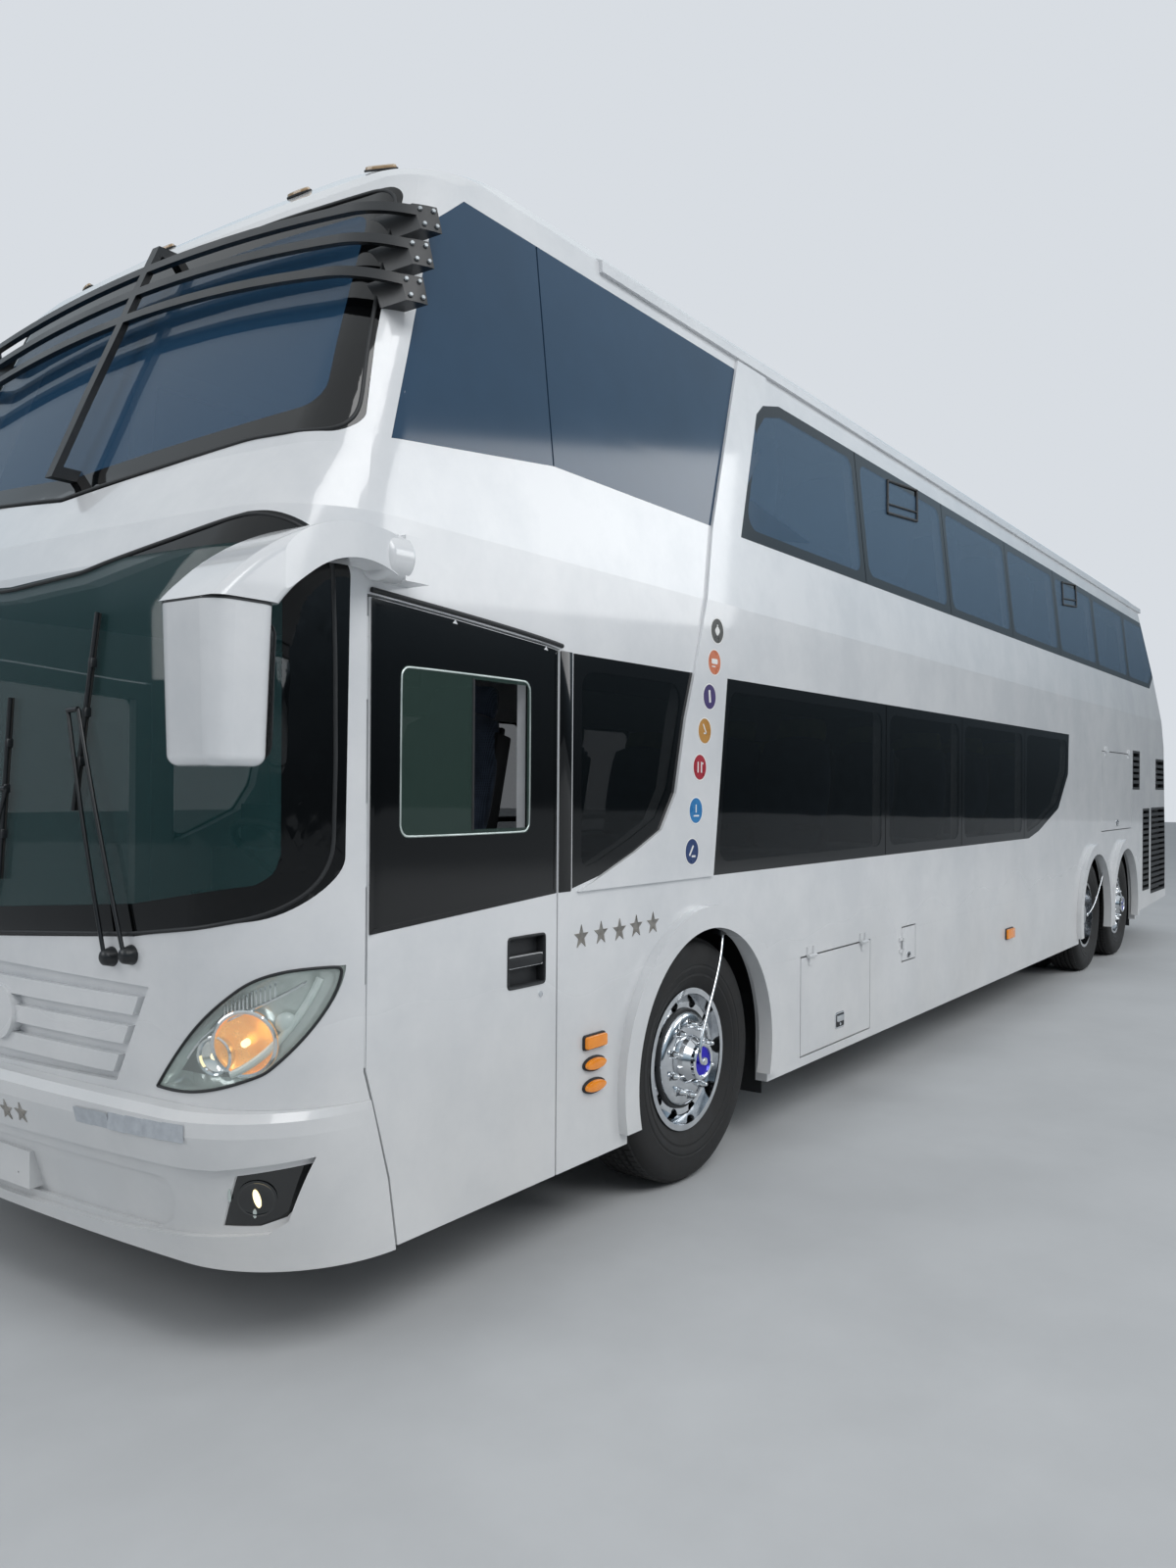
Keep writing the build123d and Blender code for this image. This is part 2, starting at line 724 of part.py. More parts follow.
# Doors and flaps in the sides
window_box = (1203.0, 1831.0, 1515.0, 2032.0)
open_half = (1222.0, 1500.0, 1534.0, 2013.0)
handle_box = (1120.0, 1314.0, 1000.0, 1163.0)
handle_deep = 34.0
handle_bar_h = 40.0
door_black = [(door_rear, belt_z), (door_rear, 2148), (1120, 2158), (1590, 2194), (door_front, 2216)]
door_black += [(door_front, 1238)]
with BuildPart() as driver_door:
    add(common(shell, side_prism(door_outline, 1)))
    add(common(bed_skin, side_prism(door_black, 1, grow=-inside_edge)), mode=Mode.SUBTRACT)
    add(side_prism(rect(*window_box), 1), mode=Mode.SUBTRACT)
    add(seam_hinge(True))
    hx0, hx1, hz0, hz1 = handle_box
    add(side_prism(rect(*handle_box), 1, start=1300 - handle_deep), mode=Mode.SUBTRACT)
    bar_z = (hz0 + hz1) / 2
    add(block(hx0, hx1, 1300 - 18, 1300 - 4, bar_z - handle_bar_h / 2, bar_z + handle_bar_h / 2))
driver_door.part.label = "driver_door"
export_step(driver_door.part, "parts/driver_door.step")

with BuildPart() as driver_door_glass:
    add(common(pane_skin, side_prism(door_black, 1, grow=-inside_edge - seat_gap)))
    add(side_prism(rect(*open_half), 1), mode=Mode.SUBTRACT)
driver_door_glass.part.label = "driver_door_glass"
export_step(driver_door_glass.part, "parts/driver_door_glass.step")

with BuildPart() as passenger_door:
    add(common(shell, side_prism(entry_outline, -1)))
    add(common(bed_skin, side_prism(entry_glass, -1, grow=-inside_edge)), mode=Mode.SUBTRACT)
    add(side_prism(entry_glass, -1, grow=-80), mode=Mode.SUBTRACT)
passenger_door.part.label = "passenger_door"
export_step(passenger_door.part, "parts/passenger_door.step")

flap_skin = outer - hull(flap_t)
for name, box, hand in (
    ("luggage_flap_left", luggage_flap, 1),
    ("luggage_flap_right", luggage_flap, -1),
    ("engine_door_left", engine_door, 1),
    ("fuel_flap", fuel_flap, 1),
):
    with BuildPart() as flap:
        add(common(flap_skin, side_prism(rect(*box), hand)))
        add(edge_hinge(box, True) if name == "fuel_flap" else top_hinges(box, hand, True))
    flap.part.label = name
    export_step(flap.part, "parts/" + name + ".step")

# Louvred grilles let into both sides at the tail
louvre_pitch = 62.0
louvre_h = 34.0
frame_bar = 25.0
tail_shell = common(shell, block(-11200, -8800, -1500, 1500, skirt_z, crease_z))


def grille_set(hand):
    with BuildPart() as one_side:
        with BuildSketch(side.offset(-hand * 1000)):
            for x0, x1, z0, z1 in grilles:
                high = z1 - z0
                wide = x1 - x0
                count = int((high - 2 * frame_bar) / louvre_pitch)
                with Locations(((x0 + x1) / 2, (z0 + z1) / 2)):
                    Rectangle(wide, high)
                    Rectangle(wide - 2 * frame_bar, high - 2 * frame_bar, mode=Mode.SUBTRACT)
                    with GridLocations(1, louvre_pitch, 1, count):
                        Rectangle(wide - frame_bar, louvre_h)
        extrude(amount=-hand * 600)
        add(tail_shell, mode=Mode.INTERSECT)
    return one_side.part


with BuildPart() as side_grilles:
    add(grille_set(1))
    add(grille_set(-1))
side_grilles.part.label = "side_grilles"
export_step(side_grilles.part, "parts/side_grilles.step")

# Decks
deck_hull = hull(wall + seat_gap)
bulkhead_x = -6700.0
stair_x0, stair_x1 = -420.0, 640.0


def deck(z_top):
    return common(deck_hull, block(-11600, 2600, -1500, 1500, z_top - deck_t, z_top))


# Wheel housings: x0, x1, inner y, top
front_house = (-690.0, 690.0, 480.0, 1140.0)
rear_house = (tag_axle - 700.0, drive_axle + 690.0, 560.0, 1170.0)
house_t = 12.0
house_low = 400.0
entry_well = (905.0, 1830.0, 480.0)
bulkhead_t = 40.0

# Entry steps: tops, outer edge, run of each
step_tops = (420.0, 640.0)
step_edge = 1239.0
step_run = 260.0
step_t = 30.0

with BuildPart() as lower_floor:
    add(common(deck(lower_deck_z), block(bulkhead_x, 2400, -1500, 1500, 0, 3000)))
    for hand in (1, -1):
        for x0, x1, y_in, top in (front_house, rear_house):
            y_in = hand * (y_in - seat_gap)
            add(block(x0 - seat_gap, x1 + seat_gap, y_in, hand * 1500, 0, 3000), mode=Mode.SUBTRACT)
    add(block(entry_well[0], entry_well[1], -1500, -entry_well[2], 0, 3000), mode=Mode.SUBTRACT)
    add(block(door_rear - 20, door_front + 20, 1210, 1500, 0, 3000), mode=Mode.SUBTRACT)
    bulk_top = upper_deck_z - deck_t - seat_gap
    bulk_back = bulkhead_x - bulkhead_t
    add(common(deck_hull, block(bulk_back, bulkhead_x, -1500, 1500, rear_house[3] + seat_gap, bulk_top)))
    add(block(bulk_back, bulkhead_x, -rear_house[2] + 1, rear_house[2] - 1, lower_deck_z - deck_t, 1300))
    x0, x1, y_in = entry_well
    x0, x1 = x0 + 1, x1 - 110
    for i, z in enumerate(step_tops):
        add(block(x0, x1, -step_edge + i * step_run, -y_in, z - step_t, z))
    step_base = step_tops[0] - step_t
    add(block(x0, x1, -y_in - 31, -y_in + 2, step_base, lower_deck_z))
    add(block(x0, x1, step_run - step_edge, step_run + step_t - step_edge, step_base, step_tops[1]))
lower_floor.part.label = "lower_floor"
export_step(lower_floor.part, "parts/lower_floor.step")

with BuildPart() as upper_floor:
    add(deck(upper_deck_z))
    add(block(stair_x0, stair_x1, -1180, -560, 0, 3000), mode=Mode.SUBTRACT)
upper_floor.part.label = "upper_floor"
export_step(upper_floor.part, "parts/upper_floor.step")

stair_count = 6
tread_t = 28.0
riser_t = 20.0
stair_y = (-1150.0, -590.0)
stair_base = front_house[3] + seat_gap
with BuildPart() as stairs:
    rise = (upper_deck_z - stair_base) / stair_count
    run = (stair_x1 - stair_x0 - seat_gap) / stair_count
    for i in range(stair_count):
        front = stair_x1 - i * run
        top = stair_base + (i + 1) * rise
        add(block(front - run, front, *stair_y, top - tread_t, top))
        add(block(front - riser_t, front, *stair_y, top - rise - (0 if i == 0 else tread_t), top))
stairs.part.label = "stairs"
export_step(stairs.part, "parts/stairs.step")

with BuildPart() as wheel_housings:
    for hand in (1, -1):
        for x0, x1, y_in, top in (front_house, rear_house):
            add(common(deck_hull, block(x0, x1, hand * y_in, hand * 1500, house_low, top)))
            y_in = hand * (y_in + house_t)
            add(block(x0 + house_t, x1 - house_t, y_in, hand * 1500, 0, top - house_t), mode=Mode.SUBTRACT)
    for hand in (1, -1):
        for x, y_in in ((0.0, front_house[2]), (drive_axle, rear_house[2]), (tag_axle, rear_house[2])):
            add(block(x - 130, x + 130, hand * (y_in - 10), hand * (y_in + 30), 300, 660), mode=Mode.SUBTRACT)
        for x in (front_house[0] + house_t, rear_house[0] + house_t):
            add(block(x, x + 8, hand * 700, hand * 1230, 230, 700))
wheel_housings.part.label = "wheel_housings"
export_step(wheel_housings.part, "parts/wheel_housings.step")

# Frame: two rails, cross beams under the deck, hangers to the axles
rail_y = 430.0
rail_w = 80.0
rail_low, rail_high = 600.0, 800.0
frame_tail, frame_front = -10910.0, 2070.0
beam_top = lower_deck_z - deck_t
beam_xs = [1700.0, 850.0, -850.0, -1930.0, -2900.0, -3900.0, -4900.0, -5900.0]
tie_xs = [-6500.0, -7900.0, -9050.0]
axle_tube_r = 70.0
engine_box = (-10750.0, -9150.0, 360.0, 520.0, 1500.0)

# Towing jaw on the tail cross beam
jaw_x = -11130.0
jaw_back = -10940.0
jaw_z = 450.0
jaw_half = 55.0
jaw_slot = 44.0
jaw_pin_r = 20.5

with BuildPart() as chassis_frame:
    for hand in (1, -1):
        y0, y1 = hand * (rail_y - rail_w / 2), hand * (rail_y + rail_w / 2)
        add(block(frame_tail, frame_front, y0, y1, rail_low, rail_high))
chassis_frame.part.label = "chassis_frame"
export_step(chassis_frame.part, "parts/chassis_frame.step")

# Members across the rails: deck beams on top, ties between, a head and a tail beam at the ends
member_half = 40.0
tail_beam_low = 620.0
inside_rail = rail_y - rail_w / 2
with BuildPart() as cross_members:
    for x in beam_xs:
        y_out = 1238.0 if abs(x) > 700 else 460.0
        y_right = -470.0 if 800 < x < 1900 else -y_out
        add(block(x - member_half, x + member_half, y_right, y_out, rail_high, beam_top))
    for x in tie_xs:
        add(block(x - member_half, x + member_half, -inside_rail, inside_rail, rail_low + 20, rail_high - 20))
    add(block(frame_tail - 2 * member_half, frame_tail, -1050, 1050, tail_beam_low, 760))
    add(block(frame_front, frame_front + 2 * member_half, -900, 900, 560, 700))
cross_members.part.label = "cross_members"
export_step(cross_members.part, "parts/cross_members.step")

with BuildPart() as towing_jaw:
    add(block(-10990, jaw_back, -60, 60, jaw_z - jaw_half, tail_beam_low))
    add(block(jaw_x - 50, jaw_back, -45, 45, jaw_z - jaw_half, jaw_z + jaw_half))
    half_slot = jaw_slot / 2
    add(block(jaw_x - 60, jaw_x + 60, -60, 60, jaw_z - half_slot, jaw_z + half_slot), mode=Mode.SUBTRACT)
    with Locations((front_axle_x + jaw_x, 0, jaw_z)):
        Cylinder(jaw_pin_r, 200, mode=Mode.SUBTRACT)
towing_jaw.part.label = "towing_jaw"
export_step(towing_jaw.part, "parts/towing_jaw.step")

ex0, ex1, ey, ez0, ez1 = engine_box
with BuildPart() as engine_block:
    add(block(ex0, ex1, -ey, ey, ez0, ez1))
    for x in (ex0 + 200, ex1 - 200):
        add(block(x - 60, x + 60, -rail_y - 30, rail_y + 30, rail_high, rail_high + 40))
engine_block.part.label = "engine_block"
export_step(engine_block.part, "parts/engine_block.step")

bay_t = 12.0
bay_y = 480.0
bay_more = 30.0
bay_top = rail_high - seat_gap
with BuildPart() as luggage_bays:
    x0, x1, z0, z1 = luggage_flap
    x0, x1, floor_z = x0 - bay_more, x1 + bay_more, z0 - bay_more
    for hand in (1, -1):
        y_out = 1300 - wall - seat_gap
        add(block(x0, x1, hand * bay_y, hand * y_out, floor_z, bay_top))
        y_in = hand * (bay_y + bay_t)
        inside = block(x0 + bay_t, x1 - bay_t, y_in, hand * 1500, floor_z + bay_t, bay_top - bay_t)
        add(inside, mode=Mode.SUBTRACT)
luggage_bays.part.label = "luggage_bays"
export_step(luggage_bays.part, "parts/luggage_bays.step")

tank_at = (-3400.0, 860.0)
tank_size = (1100.0, 660.0, 400.0)
with BuildPart() as fuel_tank:
    with BuildSketch(plan(rail_high - seat_gap)):
        with Locations(tank_at, flip(tank_at)):
            RectangleRounded(tank_size[0], tank_size[1], 60)
    extrude(amount=-tank_size[2])
fuel_tank.part.label = "fuel_tank"
export_step(fuel_tank.part, "parts/fuel_tank.step")

# Axles. Kingpin places and running clearances
kingpin_y = 930.0
pin_r = 24.0
pin_clear = 0.3
eye_r = 46.0
eye_h = 122.0
fork_t = 50.0
fork_z = eye_h / 2 + 6
spindle_r = 38.0

with BuildPart() as front_axle:
    with BuildSketch(facing) as beam_face:
        with BuildLine():
            Polyline(
                (-kingpin_y, 457), (-860, 457), (-700, 360), (700, 360), (860, 457), (kingpin_y, 457),
                (kingpin_y, 575), (860, 575), (700, 470), (-700, 470), (-860, 575), (-kingpin_y, 575),
                close=True,
            )
        make_face()
    extrude(amount=45, both=True)
    for hand in (1, -1):
        with Locations((front_axle_x, hand * kingpin_y, axle_z)):
            Cylinder(eye_r, eye_h)
            Cylinder(pin_r + pin_clear, 200, mode=Mode.SUBTRACT)
    for hand in (1, -1):
        add(block(-60, 60, hand * (rail_y - 38), hand * (rail_y + 38), 460, rail_low))
front_axle.part.label = "front_axle"
export_step(front_axle.part, "parts/front_axle.step")

for hand, name in ((1, "left"), (-1, "right")):
    y = hand * kingpin_y
    with BuildPart() as knuckle:
        for z in (axle_z + fork_z + fork_t / 2, axle_z - fork_z - fork_t / 2):
            with Locations((front_axle_x, y, z)):
                Cylinder(eye_r + 8, fork_t)
        with Locations((front_axle_x, y, axle_z)):
            Cylinder(pin_r, 180)
        add(block(-60, 60, y + hand * 54, y + hand * 84, axle_z - fork_z - fork_t, axle_z + fork_z + fork_t))
        for z in (axle_z + fork_z, axle_z - fork_z - fork_t):
            add(block(-40, 40, y, y + hand * 60, z, z + fork_t))
        with Locations(Location((front_axle_x, y + hand * 180, axle_z), (90, 0, 0))):
            Cylinder(spindle_r, 200)
    knuckle.part.label = "knuckle_" + name
    export_step(knuckle.part, "parts/knuckle_" + name + ".step")

axle_end = 1090.0
with BuildPart() as rear_axles:
    with Locations(Location((front_axle_x + drive_axle, 0, axle_z), (90, 0, 0))):
        Cylinder(axle_tube_r, 2 * 560)
        Cylinder(spindle_r + 10, 2 * axle_end)
    with Locations((front_axle_x + drive_axle, 0, axle_z)):
        Sphere(205)
    for hand in (1, -1):
        x = drive_axle
        add(block(x - 60, x + 60, hand * (rail_y - 38), hand * (rail_y + 38), axle_z, rail_low))
    with Locations(Location((front_axle_x + tag_axle, 0, axle_z), (90, 0, 0))):
        Cylinder(axle_tube_r - 10, 2 * 880)
        Cylinder(spindle_r, 2 * 1200)
    for hand in (1, -1):
        x = tag_axle
        add(block(x - 60, x + 60, hand * (rail_y - 38), hand * (rail_y + 38), axle_z, rail_low))
rear_axles.part.label = "rear_axles"
export_step(rear_axles.part, "parts/rear_axles.step")

# Wheels. Lateral places are measured from the coach's middle
bead_r = 290.0
outer_plane = 1222.0
tyre_mid = outer_plane - 116.0
twin_step = 330.0
tyre_half_profile = [(bead_r, 107), (301, 107), (345, 136), (430, 146), (495, 133), (tyre_r, 108)]


def tyre(x, mid):
    far_half = [(r, -t) for r, t in reversed(tyre_half_profile)]
    plane = Plane(origin=(front_axle_x + x, mid, axle_z), x_dir=(1, 0, 0), z_dir=(0, 0, 1))
    with BuildPart() as ring:
        with BuildSketch(plane):
            with BuildLine():
                Polyline(*tyre_half_profile, *far_half, close=True)
            make_face()
        revolve(axis=Axis((front_axle_x + x, 0, axle_z), (0, 1, 0)))
    return ring.part


def wheel_disc(x, profile):
    # a turned wheel piece from (radius, y) points
    plane = Plane(origin=(front_axle_x + x, 0, axle_z), x_dir=(1, 0, 0), z_dir=(0, 0, 1))
    with BuildPart() as disc:
        with BuildSketch(plane):
            with BuildLine():
                Polyline(*profile, close=True)
            make_face()
        revolve(axis=Axis((front_axle_x + x, 0, axle_z), (0, 1, 0)))
    return disc.part


def barrel(x, mid):
    lip = bead_r + 10
    inside = bead_r - 14
    points = [(inside, mid - 118), (lip, mid - 118), (lip, mid - 108), (bead_r - seat_gap, mid - 107.3)]
    points += [(bead_r - seat_gap, mid + 107.3), (lip, mid + 108), (lip, mid + 118), (inside, mid + 118)]
    return wheel_disc(x, points)


hole_pcd_r = 242.0
hole_r = 28.0
stud_pcd_r = 167.5
hole_count = 10


def hand_holes(x, y0, y1):
    with BuildPart() as holes:
        with Locations(Location((front_axle_x + x, (y0 + y1) / 2, axle_z), (90, 0, 0))):
            with PolarLocations(hole_pcd_r, hole_count):
                Cylinder(hole_r, abs(y1 - y0))
    return holes.part


def studs(x, y0, y1):
    with BuildPart() as nuts:
        with Locations(Location((front_axle_x + x, (y0 + y1) / 2, axle_z), (90, 0, 0))):
            with PolarLocations(stud_pcd_r, hole_count):
                Cylinder(15, abs(y1 - y0))
    return nuts.part


def single_wheel(x, bore_in, bore_out, bore_r):
    # domed disc near the outer plane, hub and cap
    mid = tyre_mid
    disc = [(bore_r + pin_clear, 1150), (150, 1165), (235, 1180), (bead_r - 10, 1150)]
    disc += [(bead_r - 10, 1166), (238, 1198), (150, 1184), (bore_r + pin_clear, 1184)]
    hub = [(bore_r + pin_clear, bore_in), (105, bore_in), (120, 1184), (95, 1250), (70, 1290), (1, 1290)]
    hub += [(1, bore_out), (bore_r + pin_clear, bore_out)]
    wheel = barrel(x, mid) + (wheel_disc(x, disc) - hand_holes(x, 1100, 1250))
    return wheel + wheel_disc(x, hub) + studs(x, 1175, 1212)


def twin_wheel(x, bore_r):
    # two rims back to back on one hub, the outer one deep dished
    outer_mid = tyre_mid
    inner_mid = tyre_mid - twin_step
    face = (outer_mid + inner_mid) / 2
    disc = [(130, face - 14), (220, face - 14), (bead_r - 10, face - 62), (bead_r - 10, face + 62)]
    disc += [(220, face + 14), (130, face + 14)]
    hub = [(bore_r + pin_clear, 660), (125, 660), (140, face - 14), (140, face + 30), (105, 1100)]
    hub += [(95, 1200), (80, 1215), (1, 1215), (1, axle_end + 6), (bore_r + pin_clear, axle_end + 6)]
    wheel = barrel(x, outer_mid) + barrel(x, inner_mid)
    wheel = wheel + (wheel_disc(x, disc) - hand_holes(x, face - 100, face + 100))
    return wheel + wheel_disc(x, hub) + studs(x, face, face + 40)


wheels = [
    ("front", 0.0, [tyre_mid], single_wheel(0.0, 1026, 1218, spindle_r)),
    ("drive", drive_axle, [tyre_mid, tyre_mid - twin_step], twin_wheel(drive_axle, spindle_r + 10)),
    ("tag", tag_axle, [tyre_mid], single_wheel(tag_axle, 900, 1218, spindle_r)),
]
for place, x, mids, rim_solid in wheels:
    for hand, name in ((1, "left"), (-1, "right")):
        with BuildPart() as tyres:
            for mid in mids:
                add(tyre(x, hand * mid))
        tyres.part.label = "tyre_" + place + "_" + name
        export_step(tyres.part, "parts/tyre_" + place + "_" + name + ".step")
        with BuildPart() as rim:
            add(rim_solid if hand > 0 else rim_solid.mirror(Plane.XZ))
        rim.part.label = "rim_" + place + "_" + name
        export_step(rim.part, "parts/rim_" + place + "_" + name + ".step")

# Inside: driver's place and seats
seat_w = 440.0


def seat(x, y, z, width):
    # cushion, leaning back and headrest as one side profile
    points = [(x - 230, z), (x + 200, z), (x + 200, z + 330), (x + 250, z + 350), (x + 250, z + 440)]
    points += [(x - 180, z + 430), (x - 330, z + 1020), (x - 400, z + 1180), (x - 450, z + 1170)]
    points += [(x - 430, z + 980), (x - 300, z + 340), (x - 230, z + 330)]
    with BuildPart() as chair:
        with BuildSketch(side.offset(-(y - width / 2))):
            with BuildLine():
                Polyline(*points, close=True)
            make_face()
        extrude(amount=-width)
    return chair.part


with BuildPart() as driver_seat:
    add(seat(1180, 620, lower_deck_z, 500))
driver_seat.part.label = "driver_seat"
export_step(driver_seat.part, "parts/driver_seat.step")

# Seat rows: first x, pitch, count, deck height; two seats on the driver's side and one opposite
seat_rows = [(1100.0, 960.0, 12, upper_deck_z), (-1500.0, 980.0, 5, lower_deck_z)]
seat_ys = [850.0, 400.0, -850.0]
places = []
for first, pitch, count, deck_top in seat_rows:
    for i in range(count):
        for y in seat_ys:
            x = first - pitch * i
            over_stairs = deck_top == upper_deck_z and y < 0 and stair_x0 - 300 < x < stair_x1 + 480
            if not over_stairs:
                places.append((x, y, deck_top))
one_seat = seat(0, 0, 0, seat_w)
with BuildPart() as passenger_seats:
    with Locations(*places):
        add(one_seat)
passenger_seats.part.label = "passenger_seats"
export_step(passenger_seats.part, "parts/passenger_seats.step")

wheel_centre = (front_axle_x + 1640, 620, 1420)
with BuildPart() as dashboard:
    add(common(deck_hull, block(1840, 2400, -1500, 1500, lower_deck_z + seat_gap, 1150)))
    add(common(deck_hull, block(1780, 2400, 200, 1040, lower_deck_z + seat_gap, 1230)))
    add(block(1700, door_front + 25, 1205, 1500, 800, 1400), mode=Mode.SUBTRACT)
    with Locations(Location(wheel_centre, (0, -35, 0))):
        Torus(225, 14)
        Cylinder(45, 40)
        Box(430, 40, 16)
        with Locations((0, 0, -170)):
            Cylinder(28, 330)
dashboard.part.label = "dashboard"
export_step(dashboard.part, "parts/dashboard.step")

# Sun louvres over the upper windscreen: end z on the left and right, z at the middle, end x
slats = [(3475.0, 3545.0, 1640.0), (3345.0, 3447.0, 1690.0), (3215.0, 3335.0, 1735.0)]
bracket_l = 64.0
bracket_h = 88.0
slat_h = 34.0
stand_off = 66.0
slat_t = 26.0
front_top = block(1300, 2600, -1600, 1600, 2600, cornice_z)
slat_skin = common(hull(-stand_off - slat_t), front_top) - hull(-stand_off)


def slat_band(z_end, z_mid):
    with BuildPart() as band:
        with BuildSketch(facing.offset(1300)):
            with BuildLine():
                ThreePointArc((-1400, z_end - 30), (0, z_mid), (1400, z_end - 30))
                Line((1400, z_end - 30), (1400, z_end - 30 - slat_h))
                ThreePointArc(
                    (1400, z_end - 30 - slat_h), (0, z_mid - slat_h), (-1400, z_end - 30 - slat_h)
                )
                Line((-1400, z_end - 30 - slat_h), (-1400, z_end - 30))
            make_face()
        extrude(amount=1200)
    return band.part


strut_skin = common(hull(-stand_off - slat_t), front_top) - hull(-seat_gap)
with BuildPart() as louvre_rack:
    for z_end, z_mid, x_end in slats:
        region = block(x_end, 2600, -1500, 1500, 3000, cornice_z)
        add(common(slat_skin, slat_band(z_end, z_mid), region))
        for hand in (1, -1):
            plate = rect(x_end, x_end + bracket_l, z_end - bracket_h, z_end)
            add(common(strut_skin, side_prism(plate, hand)))
    add(common(slat_skin, block(1500, 2600, -20, 20, 2700, 3600)))
    for z0, z1 in ((2700, 2740), (3590, 3625)):
        add(common(strut_skin, block(1500, 2600, -20, 20, z0, z1)))
louvre_rack.part.label = "louvre_rack"
export_step(louvre_rack.part, "parts/louvre_rack.step")

# Mirrors: a moulded arm sweeps forward from a knuckle on the corner pillar to the hanging head
arm_top = [(1930, 2385), (2260, 2354), (2630, 2116)]
arm_low = [(2436, 2116), (2310, 2224), (1930, 2272)]
arm_plan = [(1930, 1285), (2430, 1248), (2640, 1248), (2640, 1494), (2430, 1494), (1930, 1385)]
arm_round = 26.0
head_x, head_y, head_z = (2438.0, 2636.0), (1250.0, 1492.0), (1716.0, 2112.0)
neck_box = (2480.0, 2590.0, 1310.0, 1432.0, 2090.0, 2130.0)
pivot_at = (1925.0, 1335.0, 2328.0)
pivot_r = 72.0


with BuildPart() as mirror_arm:
    with BuildSketch(side.offset(-1240)):
        with BuildLine():
            ThreePointArc(*arm_top)
            Line(arm_top[2], arm_low[0])
            ThreePointArc(*arm_low)
            Line(arm_low[2], arm_top[0])
        make_face()
    extrude(amount=-260)
    with BuildSketch(plan(2000)):
        with BuildLine():
            Polyline(*arm_plan, close=True)
        make_face()
    extrude(amount=500, mode=Mode.INTERSECT)
    fillet(mirror_arm.edges().filter_by(GeomType.CIRCLE), arm_round)

with BuildPart() as mirror_head:
    with BuildSketch(plan(head_z[1])):
        with Locations((sum(head_x) / 2, sum(head_y) / 2)):
            RectangleRounded(head_x[1] - head_x[0], head_y[1] - head_y[0], 60)
    extrude(amount=head_z[0] - head_z[1], taper=2)
    fillet(mirror_head.edges().group_by(Axis.Z)[0], 30)

with BuildPart() as mirror_pivot:
    with Locations(Location((front_axle_x + pivot_at[0], pivot_at[1], pivot_at[2]), (0, 90, 0))):
        Cylinder(pivot_r, 110)
    fillet(mirror_pivot.edges().filter_by(GeomType.CIRCLE), 22)
    add(block(1800, 1900, 1240, 1385, 2262, 2394))

arm_cut = hull(-seat_gap)
mirror_left = mirror_arm.part + mirror_head.part + mirror_pivot.part + block(*neck_box)
with BuildPart() as mirrors:
    add(mirror_left - arm_cut)
    add((mirror_left - arm_cut).mirror(Plane.XZ))
mirrors.part.label = "mirrors"
export_step(mirrors.part, "parts/mirrors.step")

# Wipers: two arms on the lower windscreen
wiper_skin = hull(-22) - hull(-seat_gap)


def wiper(y0, z0, y1, z1, width, skin):
    length = sqrt((y1 - y0) ** 2 + (z1 - z0) ** 2)
    angle = degrees(atan2(z1 - z0, y1 - y0))
    with BuildPart() as arm:
        with BuildSketch(facing.offset(1900)):
            with Locations(Location(((y0 + y1) / 2, (z0 + z1) / 2, 0), (0, 0, angle))):
                Rectangle(length, width)
        extrude(amount=700)
        add(skin, mode=Mode.INTERSECT)
    return arm.part


with BuildPart() as wipers:
    for pivot, tip in (((728, 1195), (512, 2186)), ((-120, 1195), (-330, 2100))):
        add(wiper(*pivot, *tip, 26, wiper_skin))
        with BuildSketch(facing.offset(2270)):
            with Locations(pivot):
                Circle(34)
        extrude(amount=75)
    add(hull(-seat_gap), mode=Mode.SUBTRACT)
wipers.part.label = "wipers"
export_step(wipers.part, "parts/wipers.step")

# Small lamps: amber ones on the sides, pairs on the roof front
lamp_skin = hull(-24) - hull(-seat_gap)
side_lamps = [(750, 890, 715, 774), (750, 890, 635, 690), (750, 890, 554, 608), (-4600, -4410, 575, 660)]
roof_lamps = [(1500.0, 870.0), (1500.0, -870.0), (1450.0, 400.0), (1450.0, -400.0)]
roof_lamp_r = 38.0
roof_lamp_skin = roof_cap(-26) - roof_cap(-seat_gap)


def lamp_post(x, y):
    with BuildPart() as post:
        with Locations((front_axle_x + x, y, crown_z)):
            Cylinder(roof_lamp_r, 900)
    return post.part


with BuildPart() as marker_lamps:
    for hand in (1, -1):
        for box in side_lamps:
            add(common(lamp_skin, side_prism(rect(*box), hand)))
    for x, y in roof_lamps:
        add(common(roof_lamp_skin, lamp_post(x, y)))
marker_lamps.part.label = "marker_lamps"
export_step(marker_lamps.part, "parts/marker_lamps.step")
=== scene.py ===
import math
import bpy
import bmesh
from mathutils import Matrix, Vector, geometry
from mathutils.bvhtree import BVHTree


